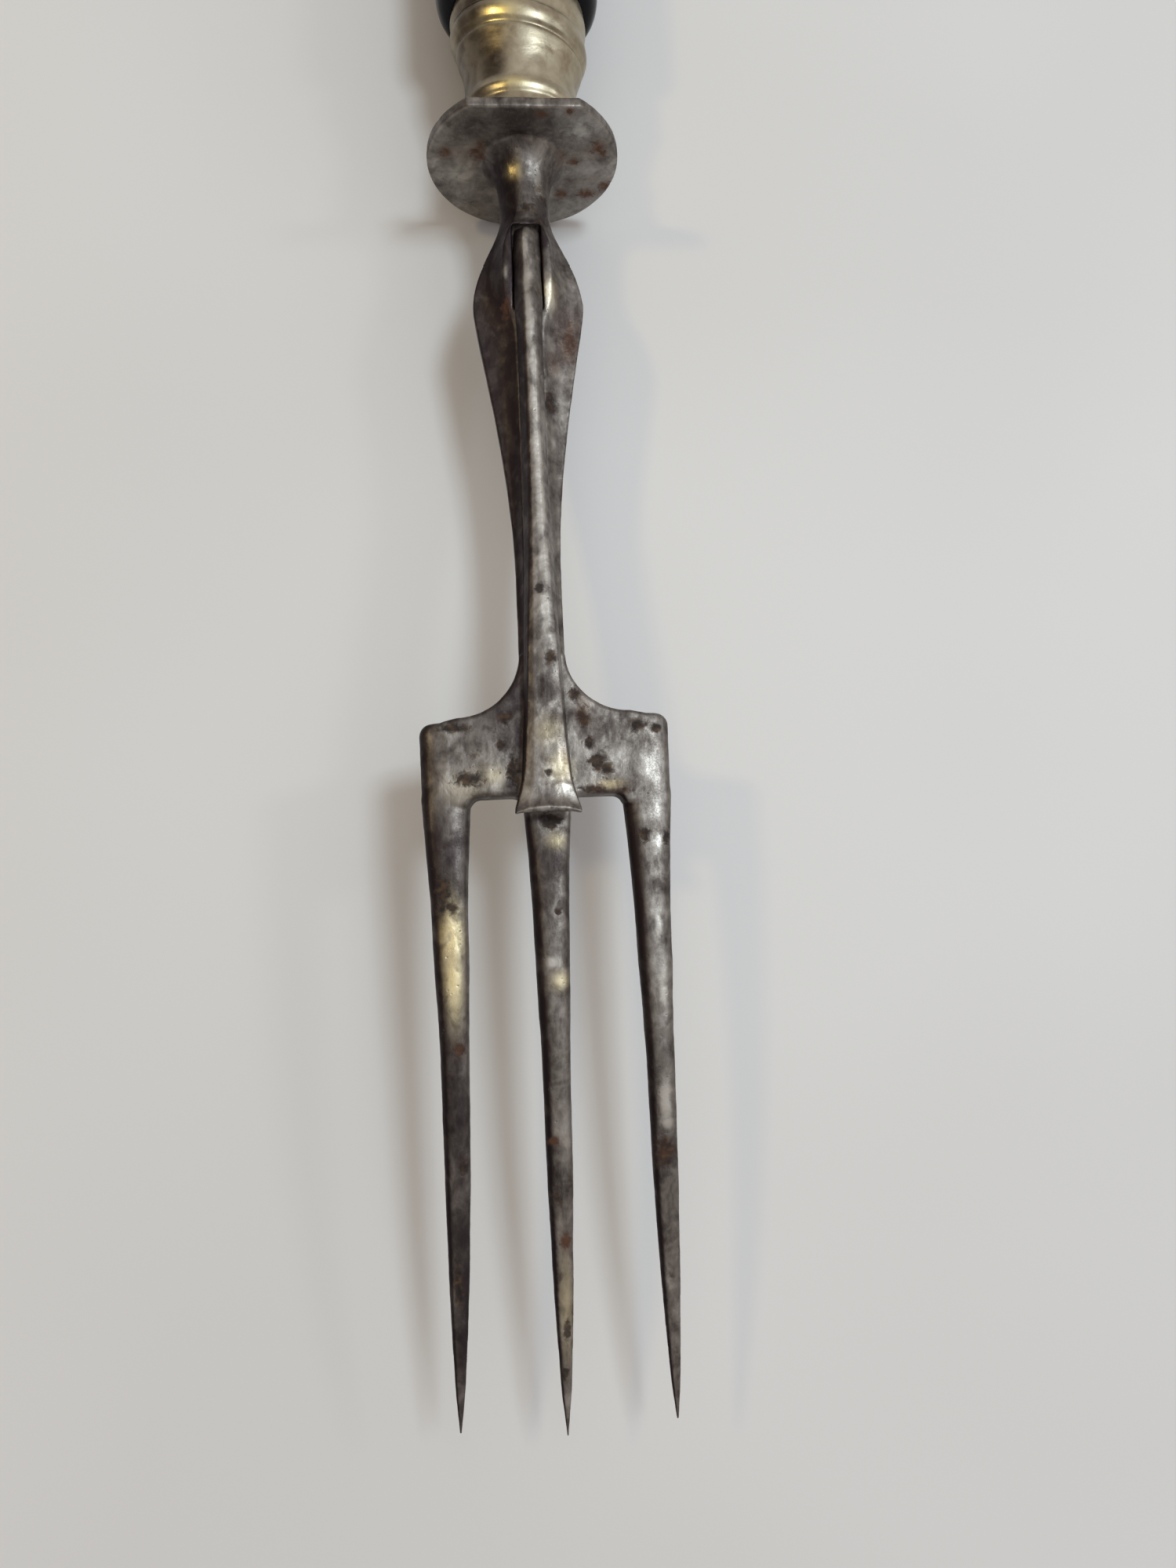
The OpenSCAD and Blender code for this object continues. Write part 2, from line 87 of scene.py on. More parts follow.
KNUCKLE_R = 3.9
HEEL_L = 4.4
HEEL_H = 3.7
GUARD_R = 1.8
GUARD_T = 2.2
GUARD_GAP = 0.22
CROWN = 0.12
LAND_H = 1.9
LIP_R = 4.1
LIP_S = 93.4
LIP_CURL = 1.4
LIP_TAIL = 0.8
FERRULE_L = 22.0
FERRULE_BACK = DISC_T + FERRULE_L
FERRULE_WAIST = 7.6
BARREL_R = 9.8
FERRULE_SHARE = 0.87
GRIP_SHARE = 0.8
HANDLE_L = 96.0
HANDLE_BACK = FERRULE_BACK + HANDLE_L
HANDLE_R = 11.8
HANDLE_BLEND = 40.0
BUTT_R = 13.6
NOSE_L = 3.6
CAP_L = 6.5
CAP_BACK = HANDLE_BACK + CAP_L

# The disc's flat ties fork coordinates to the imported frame
flat_mount = next(m for m in frame["record"]["mounts"] if m["name"] == "disc_flat")
tilt = math.atan2(flat_mount["axis"][1], flat_mount["axis"][2])
FORK_TO_ROW = Matrix(
    (
        (1, 0, 0),
        (0, -math.cos(tilt), math.sin(tilt)),
        (0, math.sin(tilt), math.cos(tilt)),
    )
)
row_shift = Vector(flat_mount["pos_m"]) - FORK_TO_ROW @ Vector((0, -DISC_T / 2, FLAT_H)) * MM


def place(points):
    """Fork millimetres to the frame's metres."""
    return np.asarray(points, float) * MM @ np.array(FORK_TO_ROW).T + np.array(row_shift)


def back_to_fork(points):
    """The frame's metres to fork millimetres."""
    return (np.asarray(points, float) - np.array(row_shift)) @ np.array(FORK_TO_ROW) / MM


def mix(a, b, u):
    return a + (b - a) * u


def ease(u):
    u = min(1.0, max(0.0, u))
    return u * u * (3 - 2 * u)


def steps(a, b, n):
    return [mix(a, b, i / n) for i in range(n + 1)]


def flow(table, s):
    """Reads a smooth curve through the rows [station, value]."""
    last = len(table) - 1
    i = 0
    while i < last - 1 and s > table[i + 1][0]:
        i += 1

    def grade(k):
        a, b = table[max(0, k - 1)], table[min(last, k + 1)]
        return (b[1] - a[1]) / (b[0] - a[0])

    (s0, v0), (s1, v1) = table[i], table[i + 1]
    h = s1 - s0
    u = min(1.0, max(0.0, (s - s0) / h))
    w = 1 - u
    return (
        v0 * (1 + 2 * u) * w * w
        + grade(i) * h * u * w * w
        + v1 * u * u * (3 - 2 * u)
        + grade(i + 1) * h * u * u * (u - 1)
    )


def rise(s):
    """Height of the fork's middle surface above its axis."""
    return ARCH * ease((s - ARCH_START) / (SHOULDER_S - 3 - ARCH_START))


# Meshes


def loft(rings):
    """A closed skin over rings of equal length: (points, faces) in fork millimetres."""
    n = len(rings[0])
    last = len(rings) - 1
    faces = [
        (k * n + i, k * n + (i + 1) % n, (k + 1) * n + (i + 1) % n, (k + 1) * n + i)
        for k in range(last)
        for i in range(n)
    ]
    faces.append(tuple(range(n - 1, -1, -1)))
    faces.append(tuple(last * n + i for i in range(n)))
    return [p for ring in rings for p in ring], faces


def build(name, shells, smooth=True):
    """One object from closed shells, with every normal outwards."""
    points = []
    faces = []
    for shell_points, shell_faces in shells:
        base = len(points)
        points.extend(shell_points)
        faces.extend(tuple(base + i for i in face) for face in shell_faces)
    mesh = bpy.data.meshes.new(name)
    mesh.from_pydata([Vector(p) for p in place(points)], [], faces)
    bm = bmesh.new()
    bm.from_mesh(mesh)
    bmesh.ops.recalc_face_normals(bm, faces=bm.faces)
    bm.to_mesh(mesh)
    bm.free()
    mesh.polygons.foreach_set("use_smooth", [smooth] * len(mesh.polygons))
    obj = bpy.data.objects.new(name, mesh)
    bpy.context.scene.collection.objects.link(obj)
    return obj


def settle(obj):
    """Applies an object's modifiers to its mesh."""
    bpy.context.view_layer.update()
    graph = bpy.context.evaluated_depsgraph_get()
    mesh = bpy.data.meshes.new_from_object(obj.evaluated_get(graph))
    obj.modifiers.clear()
    old = obj.data
    obj.data = mesh
    bpy.data.meshes.remove(old)


def discard(obj):
    mesh = obj.data
    bpy.data.objects.remove(obj)
    bpy.data.meshes.remove(mesh)


def carve(obj, *cutters):
    for cutter in cutters:
        cut = obj.modifiers.new("cut", "BOOLEAN")
        cut.operation = "DIFFERENCE"
        cut.solver = "EXACT"
        cut.object = cutter
    settle(obj)
    for cutter in cutters:
        discard(cutter)


def gather(obj, *others):
    """Joins other objects' meshes into obj."""
    bm = bmesh.new()
    bm.from_mesh(obj.data)
    for other in others:
        bm.from_mesh(other.data)
    bm.to_mesh(obj.data)
    bm.free()
    for other in others:
        discard(other)


def forge(obj, voxel, passes):
    """Melts overlapping shells into one skin and rounds its edges, as forging and wear do."""
    skin = obj.modifiers.new("skin", "REMESH")
    skin.mode = "VOXEL"
    skin.voxel_size = voxel * MM
    soft = obj.modifiers.new("soft", "SMOOTH")
    soft.factor = 0.5
    soft.iterations = passes
    settle(obj)
    obj.data.polygons.foreach_set("use_smooth", [True] * len(obj.data.polygons))


def coordinates(obj):
    co = np.empty(len(obj.data.vertices) * 3)
    obj.data.vertices.foreach_get("co", co)
    return co.reshape(-1, 3)


def normals(obj):
    values = np.empty(len(obj.data.vertices) * 3)
    obj.data.vertices.foreach_get("normal", values)
    return values.reshape(-1, 3)


def neighbours_mean(obj, values):
    """Mean of a value over each vertex's neighbours."""
    edges = np.empty(len(obj.data.edges) * 2, int)
    obj.data.edges.foreach_get("vertices", edges)
    a, b = edges.reshape(-1, 2).T
    total = np.zeros_like(values)
    count = np.zeros(len(values))
    np.add.at(total, a, values[b])
    np.add.at(total, b, values[a])
    np.add.at(count, a, 1)
    np.add.at(count, b, 1)
    count = np.maximum(count, 1)
    return total / (count[:, None] if values.ndim > 1 else count)


def roughen(obj, size, depth, seed):
    """Moves the skin in and out by smooth noise: size and depth in millimetres."""
    co = coordinates(obj)
    out = normals(obj)
    shift = Vector((seed * 17.3, seed * 5.1, seed * 9.7))
    lift = np.array([noise.fractal(Vector(p) / (size * MM) + shift, 0.8, 2.0, 3) for p in co])
    obj.data.vertices.foreach_set("co", (co + out * (lift * depth * MM)[:, None]).ravel())
    obj.data.update()


def store(obj, name, values):
    """Keeps one number for each vertex, which materials read by name."""
    layer = obj.data.attributes.new(name, "FLOAT", "POINT")
    layer.data.foreach_set("value", np.clip(values, 0, 1).astype(np.float32))


def read_edges(obj, reach, passes):
    """Stores where the skin is convex, and so worn bright, and where it is hollow, and so dirty."""
    co = coordinates(obj)
    out = normals(obj)
    bend = ((co - neighbours_mean(obj, co)) * out).sum(1) / MM / reach
    for _ in range(passes):
        bend = 0.5 * bend + 0.5 * neighbours_mean(obj, bend)
    store(obj, "worn", bend)
    store(obj, "hollow", -bend)


# Rings


def oval(s, half_w, half_h, power=2.0, n=96, x=0.0, h=0.0):
    ring = []
    for i in range(n):
        c, d = math.cos(math.tau * i / n), math.sin(math.tau * i / n)
        ring.append(
            (
                x + half_w * math.copysign(abs(c) ** (2 / power), c),
                s,
                h + half_h * math.copysign(abs(d) ** (2 / power), d),
            )
        )
    return ring


def mirrored(half, s, lift):
    """A whole ring from its half, listed as (x, h) from the top centre to the bottom centre."""
    left = [(-x, s, lift + h) for x, h in half]
    right = [(x, s, lift + h) for x, h in reversed(half[1:-1])]
    return left + right


def shank_half(s):
    if s < NECK_S:
        return NECK_R - 0.06
    if s < WING_S:
        return mix(NECK_R, WING_R, ease(max(0.0, (s - NECK_S) / (WING_S - NECK_S)) ** 0.85))
    return mix(WING_R, WAIST_R, ease(((s - WING_S) / (WAIST_S - WING_S)) ** 0.66))


CHEEK_R = GUARD_R + GUARD_GAP + 1.1
LAND_R = GUARD_R + 0.15
CHEEK_H = 3.3
LAND_WIDTH = [
    [NECK_S, 1], [12, 2.1], [15, CHEEK_R], [22, CHEEK_R], [27, LAND_R], [WAIST_S, LAND_R], [SHOULDER_S, LAND_R],
]
LAND_TOP = [
    [NECK_S, NECK_R], [12, CHEEK_H + 0.5], [15, CHEEK_H + 0.3], [20, CHEEK_H], [24, 2.6], [30, 2.1],
    [44, LAND_H], [WAIST_S, LAND_H], [SHOULDER_S, HEAD_T / 2],
]
EDGE_TOP = [[NECK_S, 0.4], [PIN_S, 1.15], [WING_S, 0.9], [40, 0.6], [WAIST_S, 0.7], [SHOULDER_S, 0.8]]
EDGE_T = [[NECK_S, 0.8], [PIN_S, 1.9], [WING_S, 1.6], [40, 1.4], [WAIST_S, 1.8], [SHOULDER_S, 2]]
BELLY_H = [[NECK_S, NECK_R], [14, BELLY - 0.1], [20, BELLY], [32, BELLY - 0.6], [WAIST_S, 2.7], [SHOULDER_S, HEAD_T / 2]]


def shank_ring(s):
    w = shank_half(s)
    land = min(flow(LAND_WIDTH, s), 0.82 * w)
    turn = ease((s - NECK_S) / 5)
    top = flow(LAND_TOP, s)
    edge = flow(EDGE_TOP, s)
    low_edge = edge - flow(EDGE_T, s)
    belly = -flow(BELLY_H, s)
    half = [(0, mix(w, top, turn))]
    for u in steps(0, 1, 16):
        x = mix(land, w, u)
        round_h = math.sqrt(max(0.0, w * w - x * x))
        half.append((x, mix(round_h, edge + (top - edge) * (1 - u) ** 2.1, turn)))
    for u in steps(0, 1, 20):
        side = math.sin(math.pi / 2 * u)
        half.append((w * math.cos(math.pi / 2 * u), mix(-w * side, low_edge + (belly - low_edge) * side**1.6, turn)))
    return mirrored(half, s, rise(s))


TINE_TAPER = [
    [0, 1], [0.08, 0.85], [0.17, 0.73], [0.28, 0.66], [0.4, 0.55], [0.6, 0.48], [0.72, 0.4], [0.83, 0.31],
    [0.93, 0.18], [1, 0.03],
]


def tine_ring(u, side, length, trim=0.0, n=48):
    """A ring of a tine at the share u of its length; side is -1, 0 or 1."""
    v = max(0.0, u)
    half_w = TINE_R * flow(TINE_TAPER, v) + TINE_FULL * (1 - v**8) - trim
    half_h = min(HEAD_T / 2 * mix(ROOT_SHARE, 0.1, v**1.5), 1.2 * (half_w + trim)) - trim
    power = mix(EDGE_POWER if side else 5.0, EDGE_POWER, ease(v / 0.12))
    x = side * mix(ROOT_X, TIP_X, v**3) + TINE_LEAN[side] * ease(v / 0.5)
    h = ARCH - TINE_DROP * (v * length / TINE_L) ** 2
    return oval(CROTCH_S + u * length, half_w, half_h, power, n, x, h)


def edge_ring(side, s, outer, share=1.0, n=48):
    """A ring of the head's rounded outer edge, which an outer tine runs up to the shoulder."""
    inner = ROOT_X - TINE_R
    half_h = share * ROOT_SHARE * HEAD_T / 2
    return oval(s, (outer - inner) / 2, half_h, EDGE_POWER, n, side * (outer + inner) / 2, ARCH)


def tine_shell(side):
    length = TINE_L - (TINE_STEP if side else 0)
    lead = [tine_ring(-2 / length, 0, length)]
    if side:
        corner = SHOULDER_S + SHOULDER_SLOPE - SHOULDER_SKEW * HEAD_R * side
        lead = []
        for a in steps(math.radians(82), 0, 14):
            lead.append(
                edge_ring(
                    side,
                    corner + CORNER_R * (1 - math.sin(a)),
                    HEAD_R - CORNER_R * (1 - math.cos(a)),
                    mix(1, 0.72, ease((math.degrees(a) - 45) / 37)),
                )
            )
        for u in steps(0.12, 0.88, 8):
            lead.append(edge_ring(side, mix(corner + CORNER_R, CROTCH_S, u), mix(HEAD_R, ROOT_X + TINE_R, u)))
    return loft(lead + [tine_ring(u, side, length) for u in steps(0, 0.97, 130)])


def head_outline():
    """Right half of the head's plate as (x, s), from the shank to the middle of the middle tine's root."""
    points = [(0, SHOULDER_S - SHOULDER_FILLET)]
    for a in steps(0, math.pi / 2, 24):
        points.append(
            (
                WAIST_R + SHOULDER_FILLET * (1 - math.cos(a)),
                SHOULDER_S - SHOULDER_FILLET * (1 - math.sin(a)),
            )
        )
    plate_x = ROOT_X + 0.2 * TINE_R
    inner = ROOT_X - TINE_R
    end = CROTCH_S + CROTCH_R
    points += [(plate_x, SHOULDER_S + SHOULDER_SLOPE), (plate_x, end)]
    for a in steps(0, math.pi / 2, 6):
        points.append((inner - CROTCH_R * (1 - math.cos(a)), end - CROTCH_R * math.sin(a)))
    for a in steps(math.pi / 2, 0, 6):
        points.append((TINE_R + CROTCH_R * (1 - math.cos(a)), end - CROTCH_R * math.sin(a)))
    points.append((0, end))
    return points


def make_plate():
    """The head's plate with its rims rounded."""
    half = head_outline()
    outline = half + [(-x, s) for x, s in reversed(half[1:-1])]
    outline = [(x, s - SHOULDER_SKEW * x * ease((CROTCH_S - s) / 6)) for x, s in outline]
    plate = build("plate", [loft([[(x, s, ARCH + h) for x, s in outline] for h in (-HEAD_T / 2, HEAD_T / 2)])])
    rim = plate.modifiers.new("rim", "BEVEL")
    rim.width = 0.55 * MM
    rim.segments = 3
    rim.angle_limit = math.radians(60)
    rim.use_clamp_overlap = False
    settle(plate)
    return plate


def disc_shell():
    chord = math.asin(FLAT_H / DISC_R)
    bevel = 0.25
    rings = []
    for s, inset in ((0, bevel), (-bevel, 0), (bevel - DISC_T, 0), (-DISC_T, bevel)):
        sweep = steps(math.pi - chord, math.tau + chord, 120)
        rings.append([((DISC_R - inset) * math.cos(a), s, min(FLAT_H - inset / 2, (DISC_R - inset) * math.sin(a))) for a in sweep])
    return loft(rings)


def neck_shell():
    rings = [oval(-DISC_T / 2, TRUMPET_R, TRUMPET_R)]
    for u in steps(0, 1, 40):
        r = mix(NECK_R, TRUMPET_R, (1 - u) ** 4)
        rings.append(oval(u * NECK_S, r, r))
    return loft(rings)


def tang_shell():
    """The tang inside the handle, with its end riveted over the burr."""
    square_end = HANDLE_BACK - 8
    rivet_s = CAP_BACK + 1.0
    rings = [
        oval(-DISC_T / 2, 3.2, 2.56, 6, 48),
        oval(-FERRULE_BACK, 2.95, 2.4, 6, 48),
        oval(-square_end, 1.65, 1.35, 6, 48),
        oval(-square_end - 0.2, 1.98, 1.98, 2, 48),
        oval(-rivet_s, 1.98, 1.98, 2, 48),
    ]
    for a in steps(0, 1.5, 8):
        r = 3.2 * math.cos(a)
        rings.append(oval(-rivet_s - 1.1 * math.sin(a), r, r, 2, 48))
    return loft(rings)


GUARD_LOW = LAND_H + GUARD_GAP
GUARD_HIGH = GUARD_LOW + GUARD_T
HEEL_S = PIN_S - HEEL_L
HEEL_R = math.hypot(HEEL_L, HEEL_H + CROWN - PIN_H)
# Rows of the guard: station, half width on top, half width below, underside, top, depth of the bevel
GUARD_ROWS = [
    [HEEL_S, 0.55, GUARD_R - 0.25, 2.4, HEEL_H, 0.7],
    [HEEL_S + 0.5, 0.8, GUARD_R - 0.05, 1.9, HEEL_H + 0.15, 0.8],
    [HEEL_S + 1.4, 0.92, GUARD_R, 1.1, HEEL_H + 0.3, 0.9],
    [PIN_S, 0.95, GUARD_R + 0.04, 0.4, KNUCKLE_R + PIN_H, 1.0],
    [PIN_S + KNUCKLE_R, 1.0, GUARD_R + 0.08, 1.22, KNUCKLE_R + PIN_H + 0.15, 1.1],
    [23.77, 1.0, GUARD_R + 0.1, 2.97, 4.75, 1.15],
    [27, 1.0, GUARD_R - 0.05, 2.72, 4.95, 1.25],
    [31, 1.0, GUARD_R - 0.1, 2.37, 4.8, 1.35],
    [43, 0.92, GUARD_R - 0.1, GUARD_LOW, GUARD_HIGH + 0.3, 1.4],
    [53, 1.05, GUARD_R - 0.05, GUARD_LOW, GUARD_HIGH + 0.1, 1.3],
    [WAIST_S, 1.45, GUARD_R + 0.15, GUARD_LOW, GUARD_HIGH, 1.2],
    [74, 1.9, 2.35, GUARD_LOW, GUARD_HIGH - 0.1, 1.1],
    [SHOULDER_S, 2.2, 2.6, GUARD_LOW, GUARD_HIGH - 0.1, 1.1],
    [LIP_S - 6.4, 2.6, 2.95, GUARD_LOW, GUARD_HIGH - 0.1, 1.0],
    [LIP_S - 3.4, LIP_R - 1.15, LIP_R - 0.9, GUARD_LOW + 0.15, GUARD_HIGH - 0.15, 0.8],
    [LIP_S - 1.7, LIP_R - 0.65, LIP_R - 0.5, GUARD_LOW + 0.49, GUARD_HIGH - 0.15, 0.5],
    [LIP_S - 0.7, LIP_R - 0.2, LIP_R - 0.1, GUARD_LOW + 0.98, GUARD_HIGH + 0.09, 0.4],
    [LIP_S, LIP_R - 0.05, LIP_R, GUARD_LOW + LIP_CURL, GUARD_HIGH - 0.9 + LIP_CURL, 0.35],
]
GUARD_COLUMNS = [[[row[0], row[k]] for row in GUARD_ROWS] for k in range(1, 6)]
CREASE_S = 89.9


def guard_ring(s):
    """A flat worn top between steep bevels; the lip's end is notched like a swallow's tail."""
    top_w, low_w, low, top, bevel = (flow(column, s) for column in GUARD_COLUMNS)
    top -= 0.1 * math.exp(-(((s - CREASE_S) / 0.6) ** 2))
    side = top - bevel
    tail = LIP_TAIL * ease((s - LIP_S + 3) / 3)
    half = [
        (0, top + CROWN),
        (0.6 * top_w, top + 0.7 * CROWN),
        (top_w, top - CROWN),
        (mix(top_w, low_w, 0.5), mix(top - CROWN, side, 0.5) + 0.02),
        (low_w, side),
        (low_w, low + 0.15),
        (low_w - 0.2, low),
        (0, low),
    ]
    ring = mirrored(half, s, rise(s))
    return [(x, s + tail * (x / LIP_R) ** 2, h) for x, s, h in ring]


def guard_shells():
    """The bar from its heel to its lip, and the knuckle with bevelled rims round the pin."""
    stations = steps(HEEL_S, 31, 50) + steps(31.6, 74, 60) + steps(74.5, LIP_S - 5, 24) + steps(LIP_S - 4.8, LIP_S, 36)
    top_w = flow(GUARD_COLUMNS[0], PIN_S)
    knuckle = []
    root_r = GUARD_R + 0.14
    for x, r in ((-root_r, KNUCKLE_R - 1), (-top_w, KNUCKLE_R - CROWN), (top_w, KNUCKLE_R - CROWN), (root_r, KNUCKLE_R - 1)):
        knuckle.append(
            [(x, PIN_S + r * math.cos(a), PIN_H + r * math.sin(a)) for a in steps(0, math.tau * 95 / 96, 95)]
        )
    return [loft([guard_ring(s) for s in stations]), loft(knuckle)]


W, B, L = FERRULE_WAIST, BARREL_R, FERRULE_L
FERRULE_PROFILE = [
    [0, W + 1], [2.6, W + 0.8], [3.9, W + 0.35], [4.6, W + 0.3], [5.2, W + 0.6], [5.9, W + 0.8], [6.6, W + 0.6],
    [7.4, W + 0.35], [8.6, W + 0.3], [10.4, W + 0.4], [12, mix(W, B, 0.35)], [13.2, mix(W, B, 0.52)],
    [14.2, mix(W, B, 0.64)], [14.8, mix(W, B, 0.62)], [15.5, mix(W, B, 0.84)], [16.6, B + 0.02], [17.6, B - 0.05],
    [18.2, B - 0.22], [18.8, B - 0.18], [20.4, B], [L, B - 0.2],
]
# How far a groove runs askew: the shift along the fork for each millimetre to the right
FERRULE_SKEW = [[0, 0], [2.6, 0.02], [7, 0.06], [12, 0.13], [17, 0.15], [L, 0]]


def ferrule_shell():
    rings = []
    for d in steps(0, FERRULE_L, 260):
        half = flow(FERRULE_PROFILE, d)
        skew = flow(FERRULE_SKEW, d)
        rings.append([(x, s + skew * x, h) for x, s, h in oval(-DISC_T - d, half, half * FERRULE_SHARE, 2, 160)])
    return loft(rings)


def handle_half(d):
    half = mix(HANDLE_R, BUTT_R, ease((d - 20) / (HANDLE_L - 30)))
    if d < NOSE_L:
        half -= (HANDLE_R - BARREL_R + 0.3) * (1 - math.sqrt(1 - (1 - d / NOSE_L) ** 2))
    return half


def handle_shell():
    distances = [NOSE_L * (1 - math.cos(a)) for a in steps(0, math.pi / 2, 24)]
    distances += steps(NOSE_L + 1, HANDLE_L - 0.3, 110) + [HANDLE_L]
    rings = []
    for d in distances:
        half = handle_half(d) - (0.15 if d == HANDLE_L else 0)
        u = ease(d / HANDLE_BLEND)
        rings.append(oval(-FERRULE_BACK - d, half, half * mix(FERRULE_SHARE, GRIP_SHARE, u), mix(2, 2.5, u), 160))
    return loft(rings)


def cap_shell():
    rim = 1.6
    dome = CAP_L - rim
    profile = [(0, -0.12), (0.12, 0), (rim - 0.4, 0), (rim - 0.25, -0.3), (rim, -0.4), (rim + 0.25, -0.3), (rim + 0.4, -0.1)]
    profile += [(rim + dome * math.sin(a), -BUTT_R * 0.48 * (1 - math.cos(a)) - 0.1) for a in steps(0.14, math.pi / 2, 40)]
    rings = []
    for d, inset in profile:
        half = BUTT_R + inset
        rings.append(oval(-HANDLE_BACK - d, half, half * GRIP_SHARE, 2.5, 160))
    return loft(rings)


# Materials


class Paint:
    """A small writer of node materials: every method returns the socket that it makes."""

    def __init__(self, name):
        self.material = bpy.data.materials.new(name)
        self.material.use_nodes = True
        self.tree = self.material.node_tree
        self.shader = self.tree.nodes["Principled BSDF"]
        where = self.tree.nodes.new("ShaderNodeTexCoord")
        scaled = self.tree.nodes.new("ShaderNodeVectorMath")
        scaled.operation = "SCALE"
        scaled.inputs["Scale"].default_value = 1 / MM
        self.tree.links.new(where.outputs["Object"], scaled.inputs[0])
        self.where = scaled.outputs[0]

    def feed(self, socket, value):
        if isinstance(value, bpy.types.NodeSocket):
            self.tree.links.new(value, socket)
        else:
            socket.default_value = value

    def stretched(self, scale):
        node = self.tree.nodes.new("ShaderNodeVectorMath")
        node.operation = "MULTIPLY"
        self.tree.links.new(self.where, node.inputs[0])
        node.inputs[1].default_value = scale
        return node.outputs[0]

    def noise(self, size, detail=3.0, rough=0.55, stretch=(1, 1, 1), warp=0.0):
        """Noise with features about size millimetres wide."""
        node = self.tree.nodes.new("ShaderNodeTexNoise")
        self.tree.links.new(self.stretched(stretch), node.inputs["Vector"])
        node.inputs["Scale"].default_value = 1 / size
        node.inputs["Detail"].default_value = detail
        node.inputs["Roughness"].default_value = rough
        node.inputs["Distortion"].default_value = warp
        return node.outputs["Fac"]

    def cells(self, size, stretch=(1, 1, 1)):
        node = self.tree.nodes.new("ShaderNodeTexVoronoi")
        self.tree.links.new(self.stretched(stretch), node.inputs["Vector"])
        node.inputs["Scale"].default_value = 1 / size
        return node.outputs["Distance"]

    def stored(self, name):
        node = self.tree.nodes.new("ShaderNodeAttribute")
        node.attribute_name = name
        return node.outputs["Fac"]

    def span(self, value, low, high, to_low=0.0, to_high=1.0):
        node = self.tree.nodes.new("ShaderNodeMapRange")
        node.interpolation_type = "SMOOTHSTEP"
        self.feed(node.inputs["Value"], value)
        for name, number in (("From Min", low), ("From Max", high), ("To Min", to_low), ("To Max", to_high)):
            node.inputs[name].default_value = number
        return node.outputs["Result"]

    def math(self, operation, a, b=0.0):
        node = self.tree.nodes.new("ShaderNodeMath")
        node.operation = operation
        self.feed(node.inputs[0], a)
        self.feed(node.inputs[1], b)
        return node.outputs[0]

    def blend(self, share, a, b):
        node = self.tree.nodes.new("ShaderNodeMix")
        node.data_type = "RGBA"
        self.feed(node.inputs["Factor"], share)
        self.feed(node.inputs["A"], a if isinstance(a, bpy.types.NodeSocket) else (*a, 1))
        self.feed(node.inputs["B"], b if isinstance(b, bpy.types.NodeSocket) else (*b, 1))
        return node.outputs["Result"]

    def ramp(self, value, *stops):
        node = self.tree.nodes.new("ShaderNodeValToRGB")
        band = node.color_ramp
        while len(band.elements) < len(stops):
            band.elements.new(0.5)
        for element, (at, colour) in zip(band.elements, stops):
            element.position = at
            element.color = (*colour, 1)
        self.feed(node.inputs["Fac"], value)
        return node.outputs["Color"]

    def bump(self, height, depth, under=None):
        """Relief of depth millimetres where height runs from 0 to 1."""
        node = self.tree.nodes.new("ShaderNodeBump")
        node.inputs["Strength"].default_value = 1
        node.inputs["Distance"].default_value = depth * MM
        self.feed(node.inputs["Height"], height)
        if under is not None:
            self.feed(node.inputs["Normal"], under)
        return node.outputs["Normal"]

    def set(self, **values):
        for name, value in values.items():
            self.feed(self.shader.inputs[name.replace("_", " ")], value)
        return self.material


